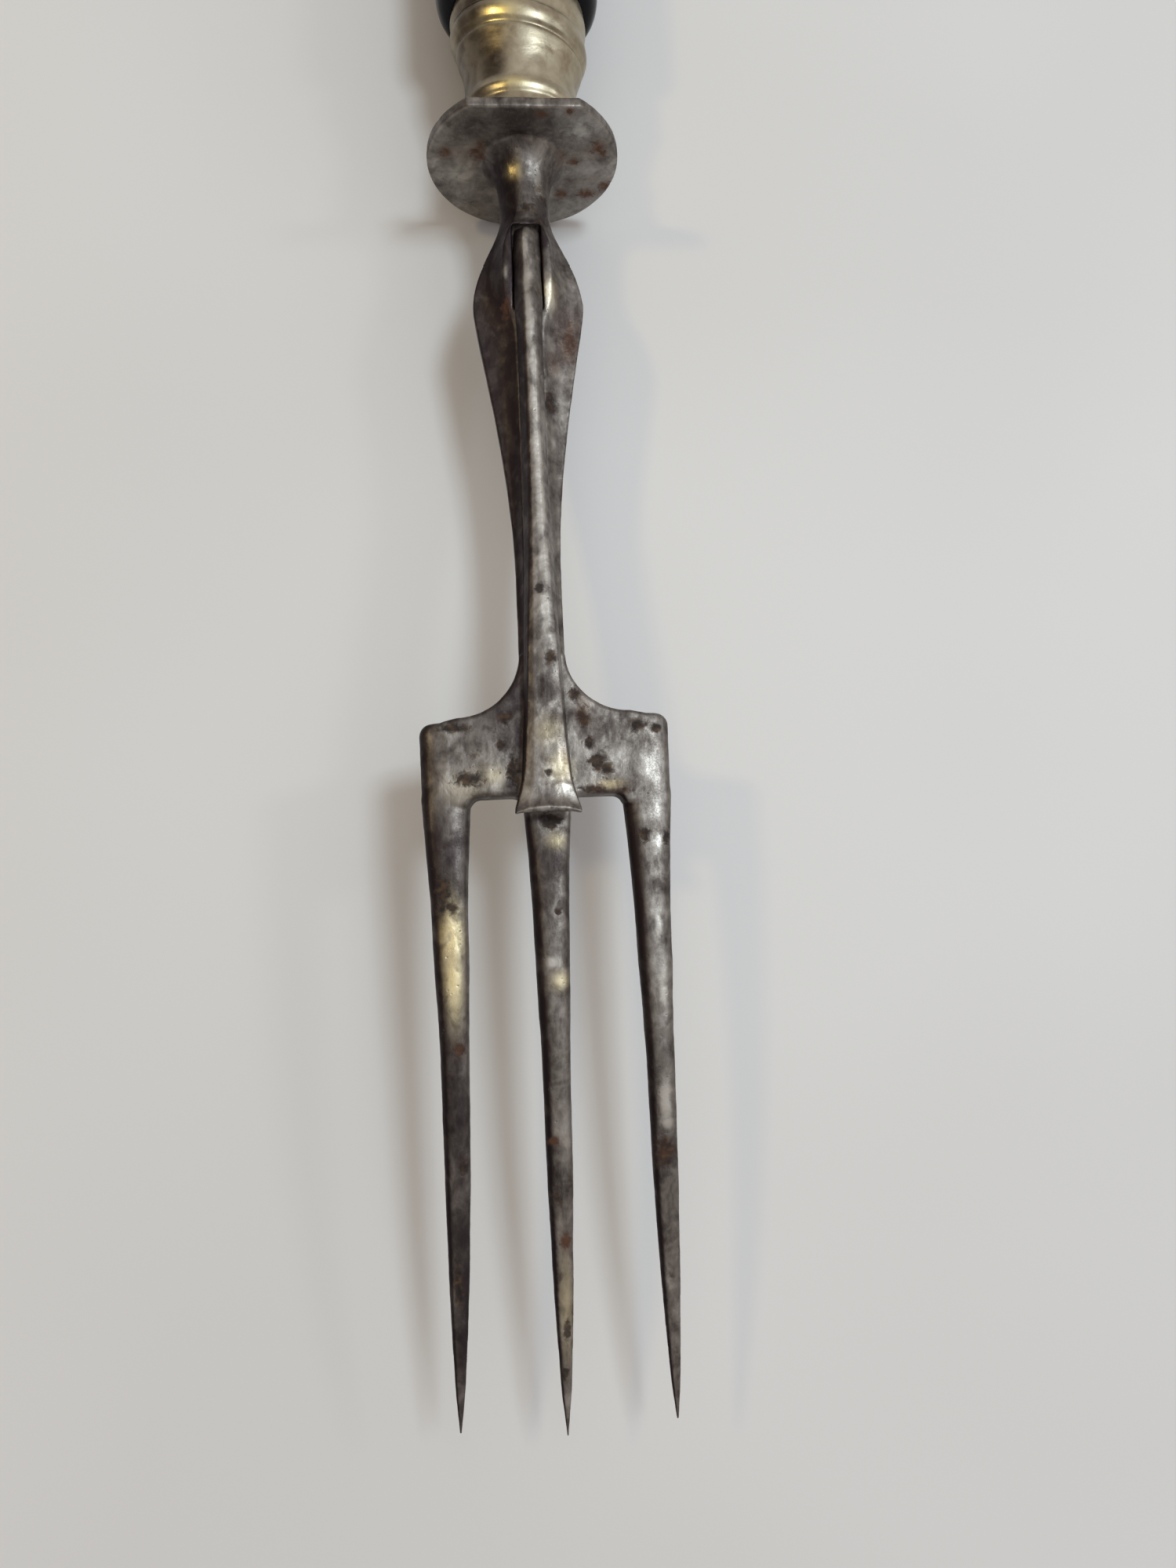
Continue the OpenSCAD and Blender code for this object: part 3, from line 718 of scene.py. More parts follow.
def steel(name, tone=1.0):
    """Old carbon steel: mottled dark grey, worn bright on its edges, brown-black in its pits and hollows, with painted
    highlights, painted warm reflections and painted shade.
    """
    p = Paint(name)
    cloud = p.noise(6, 4, 0.6, warp=0.8)
    patch = p.noise(1.7, 4, 0.56, (1, 0.6, 1), 0.5)
    fleck = p.noise(0.5, 3, 0.6, (1, 0.5, 1))
    grain = p.noise(0.2, 3, 0.6)
    drawn = p.noise(0.5, 3, 0.6, (1, 0.06, 1))
    mottle = p.math("ADD", p.math("MULTIPLY", cloud, 0.45), p.math("MULTIPLY", patch, 0.4))
    mottle = p.math("ADD", mottle, p.math("MULTIPLY", fleck, 0.15))
    # Painted light: the disc's face gets softer mottling and a lighter tone, as if it caught more light.
    mottle = p.math("ADD", p.math("MULTIPLY", p.math("SUBTRACT", mottle, 0.5), p.span(p.stored("face"), 0, 1, 0.85, 0.68)), 0.505)
    mottle = p.math("ADD", mottle, p.math("MULTIPLY", p.stored("face"), 0.018))
    # Painted highlights: the steel is lightened where the bright marks lie, on partly polished patches.
    bright = p.span(p.math("ADD", p.stored("bright"), p.math("MULTIPLY", p.math("SUBTRACT", patch, 0.5), 1.2)), 0.25, 1.0)
    # Darker patches, partly painted shade; paler places, painted light.
    mottle = p.math("SUBTRACT", mottle, p.math("MULTIPLY", p.stored("dark"), 0.085))
    mottle = p.math("ADD", mottle, p.math("MULTIPLY", p.stored("pale"), 0.09))
    grey = p.ramp(
        mottle,
        (0.36, tuple(tone * c for c in (0.044, 0.034, 0.031))),
        (0.45, tuple(tone * c for c in (0.113, 0.097, 0.088))),
        (0.53, tuple(tone * c for c in (0.202, 0.180, 0.162))),
        (0.64, tuple(tone * c for c in (0.347, 0.320, 0.292))),
    )
    grey = p.blend(p.span(drawn, 0.5, 0.75, 0, 0.14), grey, (0.36, 0.34, 0.315))
    worn = p.math("MULTIPLY", p.span(p.stored("worn"), 0.15, 0.8), p.span(patch, 0.4, 0.62, 0.15, 1))
    grey = p.blend(p.math("MULTIPLY", worn, 0.3), grey, (0.45, 0.42, 0.39))
    # The painted highlights, blended in as pale grey.
    grey = p.blend(p.math("MULTIPLY", bright, 0.72), grey, (0.52, 0.49, 0.445))
    # Painted warm highlights: the warm lamp's yellow reflection, painted into the colour.
    warm_highlight = p.math("MULTIPLY", p.stored("warm_highlight"), p.span(patch, 0.25, 0.5, 0.3, 0.95))
    grey = p.blend(warm_highlight, grey, (0.86, 0.72, 0.40))
    stain = p.math("MULTIPLY", p.stored("stain"), p.span(patch, 0.35, 0.6, 0.25, 0.9))
    grey = p.blend(stain, grey, (0.125, 0.062, 0.036))
    # Dirt in hollows, plus painted shade on steep and left-leaning faces, round the slot and in the black marks,
    # blended towards a dark purple-brown.
    grime_and_shade = p.math("MAXIMUM", p.stored("grime_and_shade"), p.math("MULTIPLY", p.span(p.stored("hollow"), 0.05, 0.5), 0.85))
    grime_and_shade = p.math("MINIMUM", p.math("MULTIPLY", grime_and_shade, p.span(patch, 0.3, 0.7, 1.08, 0.86)), 1.0)
    grey = p.blend(grime_and_shade, grey, (0.036, 0.027, 0.030))
    edge = p.math("MULTIPLY", p.math("SUBTRACT", p.noise(0.9, 4, 0.6, warp=0.6), 0.5), 1.7)
    rust = p.span(p.math("ADD", p.stored("rust"), edge), 0.2, 0.85)
    rust = p.math("MULTIPLY", rust, p.span(p.stored("rust"), 0.05, 0.3))
    rust = p.math("MAXIMUM", rust, p.span(p.noise(1.9, 5, 0.66, warp=0.4), 0.66, 0.76, 0, 0.8))
    tint = p.ramp(p.noise(0.8, 3), (0.38, (0.013, 0.009, 0.009)), (0.52, (0.030, 0.019, 0.014)), (0.68, (0.075, 0.042, 0.022)))
    tint = p.blend(p.math("MULTIPLY", p.stored("stain"), 0.6), tint, (0.13, 0.052, 0.026))
    colour = p.blend(p.math("MULTIPLY", rust, 0.92), grey, tint)
    pits = p.span(p.cells(0.8), 0.06, 0.24, 1, 0)
    pits = p.math("MULTIPLY", pits, p.span(p.noise(2.4, 2), 0.5, 0.66, 0, 0.6))
    colour = p.blend(p.math("MULTIPLY", pits, 0.6), colour, (0.03, 0.024, 0.022))
    gloss = p.math("ADD", p.span(mottle, 0.4, 0.6, 0.5, 0.39), p.span(grain, 0.4, 0.65, 0, 0.1))
    gloss = p.math("SUBTRACT", gloss, p.math("MULTIPLY", bright, 0.04))
    gloss = p.math("SUBTRACT", gloss, p.math("MULTIPLY", p.stored("sheen"), 0.2))
    gloss = p.math("MAXIMUM", gloss, p.math("MULTIPLY", grime_and_shade, 0.52))
    gloss = p.math("MAXIMUM", gloss, p.math("MULTIPLY", p.math("MAXIMUM", rust, pits), 0.7))
    clean = p.math("SUBTRACT", 1.0, p.math("MULTIPLY", p.math("MAXIMUM", rust, pits), 0.9))
    relief = p.bump(grain, 0.008)
    relief = p.bump(drawn, 0.005, relief)
    relief = p.bump(patch, 0.045, relief)
    relief = p.bump(p.math("SUBTRACT", 1.0, p.math("MAXIMUM", p.math("MULTIPLY", rust, 0.6), pits)), 0.05, relief)
    return p.set(Base_Color=colour, Metallic=clean, Roughness=gloss, Specular_IOR_Level=0.2, Normal=relief)


def nickel_silver(name):
    """Old nickel silver with a yellow cast, tarnished brown in its grooves and in cloudy patches, with painted shade on
    its left side and painted highlights.
    """
    p = Paint(name)
    cloud = p.noise(6, 4, 0.6, warp=0.8)
    patch = p.noise(1.8, 4, 0.6, warp=0.4)
    grain = p.noise(0.25, 3, 0.6)
    turned = p.noise(0.35, 2, 0.5, (0.12, 1, 0.12))
    metal = p.ramp(
        p.math("ADD", p.math("MULTIPLY", cloud, 0.5), p.math("MULTIPLY", patch, 0.5)),
        (0.34, (0.24, 0.190, 0.125)),
        (0.50, (0.37, 0.318, 0.225)),
        (0.62, (0.45, 0.400, 0.295)),
    )
    # Brown tarnish, together with painted shade down the left side.
    metal = p.blend(p.math("MULTIPLY", p.stored("tarnish_and_shade"), p.span(cloud, 0.35, 0.6, 0.95, 0.7)), metal, (0.062, 0.042, 0.028))
    dirt = p.math("MAXIMUM", p.math("MULTIPLY", p.stored("hollow"), 1.3), p.span(p.stored("foot"), 0.2, 1, 0, 0.8))
    dirt = p.math("MINIMUM", dirt, 0.95)
    metal = p.blend(dirt, metal, (0.055, 0.033, 0.020))
    metal = p.blend(p.math("MULTIPLY", p.span(p.stored("worn"), 0.1, 0.6), 0.4), metal, (0.72, 0.67, 0.54))
    # Painted highlights: pale ones where the bowl and bead catch the lamps, yellow ones for the warm lamp's reflection.
    metal = p.blend(p.math("MULTIPLY", p.stored("painted_highlight"), 0.7), metal, (0.66, 0.61, 0.48))
    metal = p.blend(p.math("MULTIPLY", p.stored("warm_highlight"), 0.85), metal, (0.93, 0.79, 0.36))
    gloss = p.math("ADD", p.span(patch, 0.35, 0.65, 0.29, 0.4), p.math("MULTIPLY", dirt, 0.25))
    relief = p.bump(turned, 0.004)
    relief = p.bump(grain, 0.004, relief)
    relief = p.bump(patch, 0.03, relief)
    return p.set(Base_Color=metal, Metallic=1.0, Roughness=gloss, Normal=relief)


def horn(name):
    """Black polished horn with faint brown streaks along it."""
    p = Paint(name)
    streak = p.noise(1.8, 4, 0.6, (1, 0.08, 1), 0.4)
    fine = p.noise(0.3, 3, 0.6, (1, 0.1, 1))
    colour = p.ramp(streak, (0.4, (0.003, 0.003, 0.005)), (0.62, (0.006, 0.005, 0.007)), (0.78, (0.018, 0.011, 0.009)))
    gloss = p.math("ADD", p.span(streak, 0.35, 0.7, 0.12, 0.2), p.span(fine, 0.45, 0.7, 0, 0.06))
    relief = p.bump(fine, 0.004)
    relief = p.bump(p.noise(3, 3), 0.04, relief)
    return p.set(Base_Color=colour, Roughness=gloss, IOR=1.32, Specular_IOR_Level=0.2, Normal=relief)


def resin(name):
    p = Paint(name)
    cloud = p.noise(1.5, 4, 0.65)
    colour = p.ramp(cloud, (0.35, (0.10, 0.045, 0.022)), (0.65, (0.27, 0.14, 0.075)))
    return p.set(Base_Color=colour, Roughness=p.span(cloud, 0.3, 0.7, 0.45, 0.8), Normal=p.bump(cloud, 0.1))


def paper(name):
    """The pale table top."""
    p = Paint(name)
    fibre = p.noise(0.8, 3, 0.6)
    cloud = p.noise(140, 2, 0.5)
    colour = p.ramp(cloud, (0.4, (0.672, 0.664, 0.658)), (0.6, (0.708, 0.702, 0.698)))
    return p.set(Base_Color=colour, Roughness=0.65, Normal=p.bump(fibre, 0.01))


# Pieces


def dress(obj, material):
    obj.data.materials.clear()
    obj.data.materials.append(material)


# Marks on the fork's upper side, as (x, s, half width, half length) in fork millimetres
RUST_MARKS = [
    (0.2, 9.2, 1.1, 0.9), (2.8, 7.2, 1.1, 0.9), (2.1, 11.5, 1.0, 2.0), (-3.1, 23.6, 0.6, 1.9, 0.8),
    (5.6, 28.0, 1.0, 2.8, 0.6), (2.5, 37.2, 0.9, 1.7), (1.4, 33.8, 0.6, 1.6, 0.7), (-5.0, 81.5, 0.8, 0.9),
    (-5.7, 85.0, 0.7, 0.6), (-8.9, 86.2, 1.0, 0.7, 0.7), (-9.8, 89.3, 1.9, 1.0), (-11.6, 82.6, 2.6, 0.7, 0.9),
    (-4.1, 88.5, 0.8, 2.5), (3.9, 78.8, 0.8, 1.0), (4.8, 81.7, 0.8, 1.5), (5.4, 85.1, 0.7, 0.8), (6.4, 87.5, 1.2, 1.3),
    (7.6, 88.4, 0.9, 0.7), (11.6, 82.9, 1.2, 0.8), (14.2, 83.3, 0.7, 0.6), (5.6, 91.0, 1.6, 0.6), (9.6, 91.3, 1.0, 0.5, 0.8),
    (1.0, 74.5, 0.8, 1.0), (-0.1, 65.2, 0.6, 0.8), (0.2, 89.2, 0.5, 0.5), (-13.2, 103.3, 1.0, 2.2), (-12.2, 105.0, 0.8, 0.8),
    (-11.6, 122.1, 0.8, 0.8), (-11.5, 135.9, 0.6, 1.1), (-12.6, 149.6, 0.6, 3.0), (0.3, 94.9, 1.5, 1.0), (0.9, 106.0, 0.5, 0.5),
    (-0.7, 133.4, 0.8, 0.6), (0.4, 145.3, 0.7, 0.9), (0.3, 155.9, 0.5, 1.5), (-0.1, 161.0, 0.5, 1.2), (11.9, 96.9, 0.8, 1.1),
    (14.7, 97.3, 0.5, 1.2), (12.8, 135.3, 1.3, 1.8), (-0.6, 140.0, 0.8, 1.2, 0.7), (12.9, 150.0, 0.6, 2.0, 0.4),
]
# Darker patches, partly painted shade over the head's upper half and around the neck's highlights.
DARK_MARKS = [
    (-8.9, 84.6, 3.4, 1.9), (-6.0, 82.0, 4.0, 2.2), (13.6, 85.0, 2.3, 1.9), (9.0, 82.8, 4.5, 1.6, 0.7),
    (-4.9, 29.7, 1.6, 4.5, 0.6), (-12.2, 129.5, 1.5, 7.0), (-0.9, 122.5, 1.2, 4.0), (12.8, 144.0, 0.9, 3.0, 0.5),
    (0.3, 138.5, 1.2, 2.0), (5.0, 26.0, 3.0, 6.5), (-0.6, 83.4, 1.6, 1.2), (0.0, 79.0, 2.6, 3.4), (-13.4, 101.5, 1.9, 4.5), (-0.2, 100.3, 2.0, 3.2),
    (2.6, 14.5, 1.2, 3.0), (-2.8, 14.5, 1.2, 4.0), (-11.5, 158.0, 1.5, 9.0, 0.8), (3.4, 33.0, 1.0, 3.0, 0.7),
    (10.7, 108.0, 0.9, 16.0, 0.8), (11.8, 135.3, 2.6, 1.8), (-0.4, 71.0, 2.0, 3.0, 0.5), (3.8, 48.0, 1.5, 12.0, 0.35),
    (-11.7, 147.0, 1.7, 10.0), (-10.5, 83.4, 3.0, 1.6, 0.5),
]
# Painted highlights where the lamps catch the neck, the cheeks, the guard's top, the head and the tines.
BRIGHT_MARKS = [
    (-1.8, 3.9, 0.6, 0.9), (1.9, 5.1, 0.7, 2.4), (2.9, 22.0, 0.8, 1.9), (-3.0, 19.3, 0.4, 1.3, 0.8), (-0.3, 15.5, 0.6, 2.5),
    (-0.2, 21.0, 0.7, 3.0), (-0.1, 24.5, 0.7, 3.0), (0.0, 28.0, 0.6, 4.6, 0.9), (0.2, 33.5, 0.5, 4.0, 0.9),
    (0.2, 40.0, 0.6, 5.0, 0.85), (0.4, 47.0, 0.7, 5.0),
    (0.6, 54.0, 0.8, 5.0), (0.6, 61.0, 0.8, 3.0), (0.6, 68.5, 0.8, 2.8), (0.5, 81.4, 1.3, 0.8, 0.3), (0.3, 85.2, 1.2, 1.0, 0.5),
    (1.6, 88.0, 0.8, 1.4, 0.8), (1.8, 91.0, 1.2, 0.6), (3.3, 92.5, 0.8, 0.8), (0.0, 93.7, 3.6, 0.4, 0.8),
    (-11.6, 89.4, 2.2, 1.8, 0.5), (-6.4, 89.2, 1.6, 1.6, 0.5), (9.4, 88.2, 1.6, 1.6, 0.25), (13.2, 90.0, 1.6, 2.4, 0.2),
    (8.2, 90.4, 0.9, 0.4, 0.6), (-14.2, 84.0, 1.2, 1.4, 0.5), (-12.4, 109.5, 1.0, 4.2), (-12.2, 114.0, 0.8, 4.0),
    (-12.3, 95.5, 1.0, 2.0, 0.3),
    (1.0, 97.2, 0.9, 0.6, 0.6), (-0.1, 112.2, 1.4, 1.0, 0.8), (0.8, 114.3, 0.9, 0.8, 0.7), (13.6, 98.0, 0.6, 6.0, 0.5),
    (13.1, 108.1, 0.6, 1.6), (13.4, 115.4, 0.7, 2.6, 0.9), (13.1, 129.9, 0.8, 3.2), (0.6, 106.5, 0.6, 3.0, 0.4),
]
# Painted light: paler places on faces that the lamps light.
PALE_MARKS = [
    (13.2, 88.6, 2.4, 3.4, 0.9), (9.2, 86.6, 2.6, 1.8, 0.5), (13.5, 98.0, 0.9, 6.0, 0.5), (13.3, 115.4, 1.0, 3.4, 0.8),
    (3.5, 83.5, 0.6, 3.6, 0.4), (0.2, 130.0, 1.5, 6.0, 0.4), (-11.6, 88.4, 1.6, 1.4, 0.4), (13.1, 149.0, 0.9, 4.0, 0.5),
]
# Where painted warm highlights lie, where it shines most, where rust has stained it, and where it is black with painted
# shade and some dark rust
WARM_HIGHLIGHT_MARKS = [
    (-12.5, 108.8, 1.2, 3.4), (-12.3, 113.5, 0.9, 4.2), (-1.7, 3.7, 1.0, 1.1), (8.0, 90.4, 1.2, 0.5, 0.5),
    (0.9, 114.3, 1.0, 0.9, 0.45), (0.3, 84.0, 1.4, 1.5, 0.2), (0.9, 97.3, 1.0, 0.8, 0.35), (-6.6, 88.9, 1.5, 1.0, 0.2),
    (0.2, 153.0, 0.8, 5.0, 0.3), (1.8, 88.5, 1.2, 1.5, 0.35), (-10.5, 90.5, 2.0, 1.5, 0.12), (2.9, 21.8, 0.8, 1.6, 0.3),
]
SHEEN_MARKS = [(-1.8, 3.9, 0.8, 1.0), (1.9, 5.1, 0.8, 2.4), (-12.5, 110.5, 0.9, 4.5, 0.9), (1.8, 91.0, 1.3, 1.0, 0.6)]
STAIN_MARKS = [
    (-3.1, 23.6, 0.8, 2.0), (5.4, 27.6, 1.5, 3.4, 0.6), (3.3, 31.5, 0.8, 2.0, 0.4), (12.4, 135.3, 0.9, 1.4, 0.4),
    (0.4, 145.3, 0.6, 0.9), (-0.7, 133.4, 0.6, 0.6), (-11.8, 122.1, 0.7, 0.8, 0.7), (8.0, 90.6, 2.0, 0.7, 0.5),
    (2.0, 88.0, 0.5, 2.2, 0.5), (5.0, 80.5, 1.0, 2.0, 0.35),
]
BLACK_MARKS = [
    (-4.3, 89.6, 0.8, 2.6), (-3.4, 84.0, 0.7, 5.0, 0.8), (0.0, 94.4, 2.0, 0.8, 0.8), (0.2, 3.0, 0.7, 3.0, 0.6),
    (2.4, 9.5, 1.4, 2.6, 0.7), (-2.2, 10.0, 1.6, 3.0, 0.9), (-13.6, 104.5, 1.2, 5.5, 0.9), (-14.0, 97.0, 1.5, 6.5, 0.9),
    (-15.0, 88.0, 1.3, 4.5, 0.9), (-13.4, 120.0, 0.9, 8.0, 0.8), (3.0, 15.5, 0.5, 3.0, 0.6), (-11.9, 98.5, 2.2, 4.5, 0.85),
    (-11.9, 131.0, 1.6, 12.0, 0.75), (-11.6, 152.0, 1.7, 16.0, 0.95), (-0.3, 100.0, 1.9, 3.4, 0.55), (-9.5, 82.3, 3.2, 1.4, 0.45),
    (12.6, 135.8, 1.9, 1.8, 0.75), (-5.2, 80.6, 2.4, 2.0, 0.9), (0.0, 78.8, 2.2, 3.2, 0.25), (4.6, 25.0, 2.6, 5.0, 0.25),
    (2.5, 37.3, 0.8, 1.6), (-4.6, 83.0, 1.0, 3.0, 0.6), (1.9, 29.5, 0.6, 1.6, 0.4),
]
# Rust on the disc's face, as (x, h, half width, half height)
DISC_MARKS = [
    (-10.8, 2.4, 0.9, 1.1), (-6.3, 2.3, 1.5, 1.4), (-5.8, 3.9, 0.7, 1.0), (5.1, 1.8, 0.9, 1.3), (7.2, 0.9, 1.0, 0.8),
    (10.4, 3.7, 1.2, 1.4), (11.2, 2.6, 0.7, 1.0), (9.4, -5.7, 1.4, 1.1), (12.1, -4.3, 1.0, 1.2), (5.8, -6.0, 0.9, 0.9),
    (2.3, 9.9, 1.0, 0.7), (6.2, 10.4, 0.6, 0.6), (9.0, -3.0, 2.5, 1.5, 0.35), (-8.6, 2.8, 2.5, 1.2, 0.35),
    (9.5, 2.0, 3.0, 2.0, 0.35),
]
DISC_SHADES = [
    (-0.4, 7.4, 3.4, 3.8), (3.4, 8.2, 1.6, 1.8), (-6.5, 8.0, 3.2, 2.8, 0.8), (-3.8, 1.5, 2.0, 4.5), (4.4, 4.5, 2.0, 3.0, 0.6),
    (5.5, -5.0, 2.5, 3.0, 0.5),
]
# Painted light on the disc's face, as (x, h, half width, half height).
DISC_LIGHTS = [(-12.3, -1.2, 1.1, 3.6), (7.8, 7.1, 2.4, 2.0), (9.2, 1.1, 1.6, 1.8), (12.6, 0.5, 0.8, 3.5), (-9.0, -2.0, 2.0, 3.0)]
SLOT_BACK_S = 12.0
SLOT_FRONT_S = PIN_S + KNUCKLE_R + GUARD_GAP


def marks(across, along, places):
    """How deep each vertex lies in the nearest of the marks, fading outwards; a fifth number is a mark's strength."""
    depth = np.zeros(len(across))
    for x, y, half_w, half_l, *strength in places:
        reach = np.exp(-(((across - x) / half_w) ** 2 + ((along - y) / half_l) ** 2) * 0.8)
        depth = np.maximum(depth, reach * (strength[0] if strength else 1))
    return depth


def smooth(values, low, high):
    u = np.clip((values - low) / (high - low), 0, 1)
    return u * u * (3 - 2 * u)


def store_marks(obj):
    """Stores where the steel is rusty, stained, darker or paler, where highlights are painted, and where dirt and
    painted shade darken it.
    """
    x, s, h = back_to_fork(coordinates(obj)).T
    out = normals(obj)
    across = np.hypot(x, h)
    upper = smooth(out[:, 2], 0.25, 0.6)
    face = smooth(-out[:, 1], 0.45, 0.85) * smooth(across, 3.6, 5.2) * (s > -0.4) * (s < 2.5)
    disc = (s < 0.6) * smooth(across, 6.0, 8.0)
    top = upper * (1 - face)
    rust = np.maximum(marks(x, s, RUST_MARKS) * top, 0.72 * marks(x, h, DISC_MARKS) * face)
    stain = np.maximum(marks(x, s, STAIN_MARKS) * top, marks(x, h, DISC_MARKS) * face)
    # Darker marks are partly painted shade; bright marks and the disc's lights are painted highlights, as is the lit
    # top of the disc's flat.
    dark = np.maximum(marks(x, s, DARK_MARKS) * top, marks(x, h, DISC_SHADES) * face)
    bright = np.maximum(marks(x, s, BRIGHT_MARKS) * top, 0.6 * marks(x, h, DISC_LIGHTS) * face)
    flat = (np.abs(s + DISC_T / 2) < DISC_T) & (h > FLAT_H - 0.35) & (out[:, 2] > 0.6)
    bright = np.maximum(bright, 0.3 * flat)
    shank = smooth(s, 2.5, 6.5) * smooth(-s, -SHOULDER_S - 4, -SHOULDER_S + 3)
    left = smooth(-x, -0.6, 1.6)
    # Painted shade: steep faces, faces that lean left, the shank's left side and the black marks are darkened.
    steep = 1 - smooth(out[:, 2], 0.35, 0.9)
    lean = smooth(-out[:, 0], 0.08, 0.42)
    grime_and_shade = np.maximum(steep * mix(0.2, 1.0, lean), lean)
    grime_and_shade = np.maximum(grime_and_shade, 0.88 * left * shank * smooth(np.abs(x), 1.9, 2.4))
    grime_and_shade = np.maximum(grime_and_shade, marks(x, s, BLACK_MARKS) * smooth(out[:, 2], -0.2, 0.2))
    # Painted shade round the slot's opening, which hides the lit edge of its rim.
    past_slot = np.hypot(
        np.maximum(np.abs(x) - GUARD_R - GUARD_GAP, 0),
        np.maximum(np.maximum(SLOT_BACK_S - s, s - SLOT_FRONT_S), 0),
    )
    if obj.name.startswith("forging"):
        side_fade = np.where(x > 0, 1 - 0.75 * smooth(s, 14.5, 19.0), 1 - 0.3 * smooth(s, 19.0, 24.0))
        grime_and_shade = np.maximum(grime_and_shade, (1 - smooth(past_slot, 0.3, 1.5)) * (h > -2) * side_fade)
    grime_and_shade = grime_and_shade * (1 - 0.9 * face) * (1 - 0.7 * disc) * (1 - 0.85 * bright)
    # Painted light: the disc's face and the shank's right side are paler, and so are the pale marks.
    pale = np.maximum(0.45 * face * (1 - dark), 0.05 * smooth(x, 1.9, 2.4) * shank)
    pale = np.maximum(pale, marks(x, s, PALE_MARKS) * top)
    values = {
        "rust": rust,
        "stain": stain,
        "dark": dark,
        "bright": bright,
        "warm_highlight": marks(x, s, WARM_HIGHLIGHT_MARKS) * top,
        "sheen": marks(x, s, SHEEN_MARKS) * top,
        "grime_and_shade": grime_and_shade,
        "pale": pale,
        "face": face,
    }
    for name, amount in values.items():
        store(obj, name, amount)


def make_forging():
    shank = build("shank", [loft([shank_ring(s) for s in steps(NECK_S - 1, 34, 90) + steps(34.6, SHOULDER_S + 2, 80)])])
    slot_r = GUARD_R + GUARD_GAP
    slot_front = PIN_S + KNUCKLE_R + GUARD_GAP

    def prism(x, outline):
        """A cutter across the fork with an outline of (s, h)."""
        return build("cutter", [loft([[(side, s, h) for s, h in outline] for side in (-x, x)])])

    def block(s0, s1, h0, h1):
        return prism(slot_r, [(s0, h0), (s1, h0), (s1, h1), (s0, h1)])

    def circle(r, start, end, n):
        return [(PIN_S + r * math.cos(a), PIN_H + r * math.sin(a)) for a in steps(start, end, n)]

    heel_room = circle(HEEL_R + GUARD_GAP, math.radians(88), math.radians(272), 60)
    carve(
        shank,
        block(PIN_S, slot_front, -BELLY - 1, 3 * BELLY),
        prism(slot_r, heel_room),
        prism(
            slot_r,
            [(slot_front - 0.3, 1.0), (slot_front + 3.8, 2.7), (slot_front + 3.8, 3 * BELLY), (slot_front - 0.3, 3 * BELLY)],
        ),
        prism(WING_R, circle(0.8, 0, math.tau * 31 / 32, 31)),
    )
    sides = (-1, 0, 1)
    body = build("forging_steel", [disc_shell(), neck_shell()] + [tine_shell(side) for side in sides])
    gather(body, shank, make_plate())
    forge(body, 0.18, 5)
    tips = [tang_shell()]
    for side in sides:
        length = TINE_L - (TINE_STEP if side else 0)
        tips.append(loft([tine_ring(u, side, length, 0.04 * (1 - ease((u - 0.86) / 0.08))) for u in steps(0.86, 1, 60)]))
    gather(body, build("tips", tips))
    roughen(body, 5.0, 0.05, 1)
    roughen(body, 1.2, 0.012, 2)
    read_edges(body, 0.05, 3)
    store_marks(body)
    dress(body, steel("forged_steel"))
    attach(body, "fork")
    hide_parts("fork_forging")


def make_guard():
    bar = build("guard_bar", guard_shells())
    forge(bar, 0.13, 3)
    roughen(bar, 3.0, 0.04, 3)
    roughen(bar, 0.8, 0.012, 4)
    read_edges(bar, 0.04, 3)
    store_marks(bar)
    dress(bar, steel("guard_steel", 1.1))
    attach(bar, "guard")
    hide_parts("guard")


def make_ferrule():
    shell = build("ferrule_shell", [ferrule_shell()])
    roughen(shell, 6.0, 0.05, 5)
    read_edges(shell, 0.02, 4)
    x, s, _ = back_to_fork(coordinates(shell)).T
    depth = -s - DISC_T
    store(shell, "foot", np.maximum(0.6 * (1 - depth / 1.6), 1 - np.abs(FERRULE_L - depth) / 0.8))
    # Painted shade down the left side, mixed with brown tarnish marks.
    bowl = smooth(depth, 6.5, 8.0) * smooth(-depth, -15.0, -14.2)
    tarnish_and_shade = np.maximum(smooth(-x, 4.8, 6.4), 0.85 * bowl * smooth(-x, 1.4, 3.2)) * (1 - 0.6 * smooth(-x, 8.2, 9.5))
    brown = [(4.0, 14.8, 6.0, 0.7, 0.6), (1.0, 20.5, 6.0, 1.2, 0.6), (2.4, 12.6, 2.2, 2.4, 0.45), (-8.6, 9.0, 2.2, 7.0, 0.7)]
    store(shell, "tarnish_and_shade", np.maximum(tarnish_and_shade, marks(x, depth, brown)))
    # Painted highlights on the bead and the bowl: yellow for the warm lamp, pale for the others.
    store(shell, "warm_highlight", marks(x, depth, [(-2.9, 16.2, 2.0, 1.1), (-1.5, 5.9, 2.0, 0.6, 0.6)]))
    store(shell, "painted_highlight", marks(x, depth, [(0.4, 9.8, 2.2, 2.8, 0.75), (-2.9, 16.2, 1.6, 1.1)]))
    dress(shell, nickel_silver("ferrule_metal"))
    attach(shell, "fork")
    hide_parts("ferrule")


def make_handle():
    grip = build("handle_horn", [handle_shell()])
    roughen(grip, 12.0, 0.08, 6)
    dress(grip, horn("black_horn"))
    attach(grip, "fork")
    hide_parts("handle")


def make_cap():
    cap = build("cap_shell", [cap_shell()])
    read_edges(cap, 0.02, 2)
    store(cap, "foot", 1 - (-back_to_fork(coordinates(cap))[:, 1] - HANDLE_BACK) / 0.5)
    dress(cap, nickel_silver("cap_metal"))
    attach(cap, "fork")
    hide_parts("butt_cap")


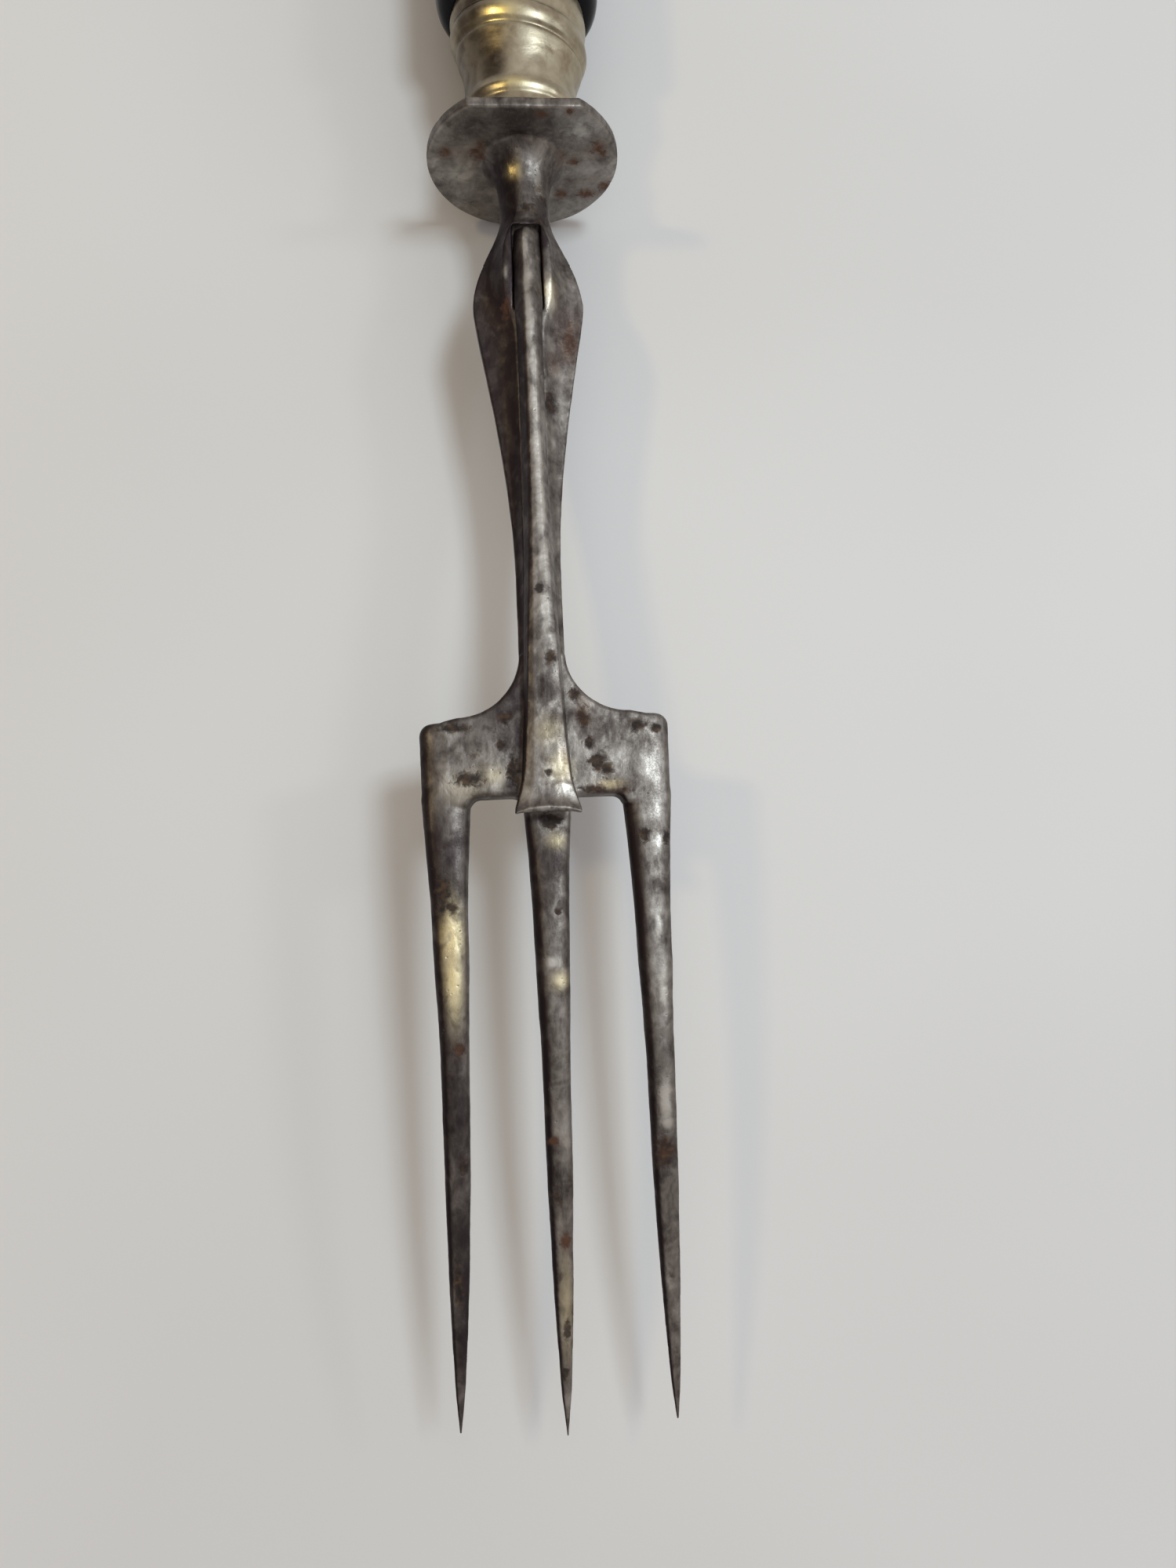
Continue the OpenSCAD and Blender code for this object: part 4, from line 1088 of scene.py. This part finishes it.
def paint_kept_nodes():
    dress(frame["nodes"]["guard_pin"], steel("pin_steel", 0.8))
    dress(frame["nodes"]["tang_cement"], resin("cutlers_resin"))
    dress(frame["nodes"]["burr"], nickel_silver("burr_metal"))


# Stage


def make_floor():
    reach = 3.0
    mesh = bpy.data.meshes.new("floor")
    mesh.from_pydata([(-reach, -reach, 0), (reach, -reach, 0), (reach, reach, 0), (-reach, reach, 0)], [], [(0, 1, 2, 3)])
    floor = bpy.data.objects.new("floor", mesh)
    bpy.context.scene.collection.objects.link(floor)
    dress(floor, paper("pale_table"))


def make_world():
    """A soft room: pale above and to the right, darker above the left side."""
    world = bpy.data.worlds.new("studio")
    world.use_nodes = True
    tree = world.node_tree
    sky = tree.nodes["Background"]
    where = tree.nodes.new("ShaderNodeTexCoord")
    split = tree.nodes.new("ShaderNodeSeparateXYZ")
    tree.links.new(where.outputs["Generated"], split.inputs[0])

    def span(value, low, high, to_low, to_high):
        node = tree.nodes.new("ShaderNodeMapRange")
        node.interpolation_type = "SMOOTHSTEP"
        tree.links.new(value, node.inputs["Value"])
        for name, number in (("From Min", low), ("From Max", high), ("To Min", to_low), ("To Max", to_high)):
            node.inputs[name].default_value = number
        return node.outputs["Result"]

    shade = tree.nodes.new("ShaderNodeMath")
    shade.operation = "MULTIPLY"
    tree.links.new(span(split.outputs["X"], -0.58, -0.12, 1, 0), shade.inputs[0])
    tree.links.new(span(split.outputs["Z"], 0.08, 0.3, 0, 1), shade.inputs[1])
    tone = tree.nodes.new("ShaderNodeMix")
    tone.data_type = "RGBA"
    tone.inputs["A"].default_value = (0.642, 0.602, 0.572, 1)
    tone.inputs["B"].default_value = (0.11, 0.09, 0.09, 1)
    tree.links.new(shade.outputs[0], tone.inputs["Factor"])
    tree.links.new(tone.outputs["Result"], sky.inputs["Color"])
    bpy.context.scene.world = world


def make_lamp(name, at, size, power, colour):
    """A soft square lamp that faces the fork's waist; at is in fork millimetres."""
    data = bpy.data.lights.new(name, "AREA")
    data.shape = "SQUARE"
    data.size = size * MM
    data.energy = power
    data.color = colour
    lamp = bpy.data.objects.new(name, data)
    bpy.context.scene.collection.objects.link(lamp)
    here = Vector(place([at])[0])
    aim = Vector(place([(0, 60, 0)])[0])
    lamp.matrix_world = Matrix.Translation(here) @ (aim - here).to_track_quat("-Z", "Y").to_matrix().to_4x4()


def make_camera():
    """The photograph's view: the disc's centre seen from the camera, and how the fork lies in the frame."""
    disc_from_camera = Vector((-9.28, -87.8, 166.94))
    pitch, roll, spin = math.radians(10.39), math.radians(4.18), math.radians(2.51)
    right = Vector((1, 0, 0))
    tips = Vector((0, math.cos(pitch), -math.sin(pitch)))
    up = Vector((0, -math.sin(pitch), -math.cos(pitch)))
    turn = Matrix.Rotation(-spin, 3, "Z")
    rolled_up = turn @ (up * math.cos(roll) + right * math.sin(roll))
    rolled_right = turn @ (right * math.cos(roll) - up * math.sin(roll))
    tips = turn @ tips
    place_in_fork = [-axis.dot(disc_from_camera) for axis in (rolled_right, tips, rolled_up)]

    def in_row(k, sign):
        return FORK_TO_ROW @ Vector((rolled_right[k], tips[k], rolled_up[k])) * sign

    x_axis, y_axis, z_axis = in_row(0, 1), in_row(1, -1), in_row(2, -1)
    data = bpy.data.cameras.new("camera")
    data.sensor_fit = "VERTICAL"
    data.sensor_height = 24
    data.lens = 24 * 1500 / 2000
    data.clip_start = 0.01
    camera = bpy.data.objects.new("camera", data)
    bpy.context.scene.collection.objects.link(camera)
    here = Vector(place([place_in_fork])[0])
    camera.matrix_world = Matrix.Translation(here) @ Matrix((x_axis, y_axis, z_axis)).transposed().to_4x4()
    bpy.context.scene.camera = camera


make_camera()
make_world()
make_floor()
make_lamp("window", (240, -40, 640), 150, 1.85, (0.80, 0.92, 1.0))
make_lamp("side_window", (520, -40, 440), 80, 0.36, (0.80, 0.92, 1.0))
make_lamp("warm_lamp", (-345, -60, 450), 50, 0.38, (1.0, 0.80, 0.42))
bpy.context.scene.view_settings.view_transform = "Standard"

make_forging()
make_guard()
make_ferrule()
make_handle()
make_cap()
paint_kept_nodes()
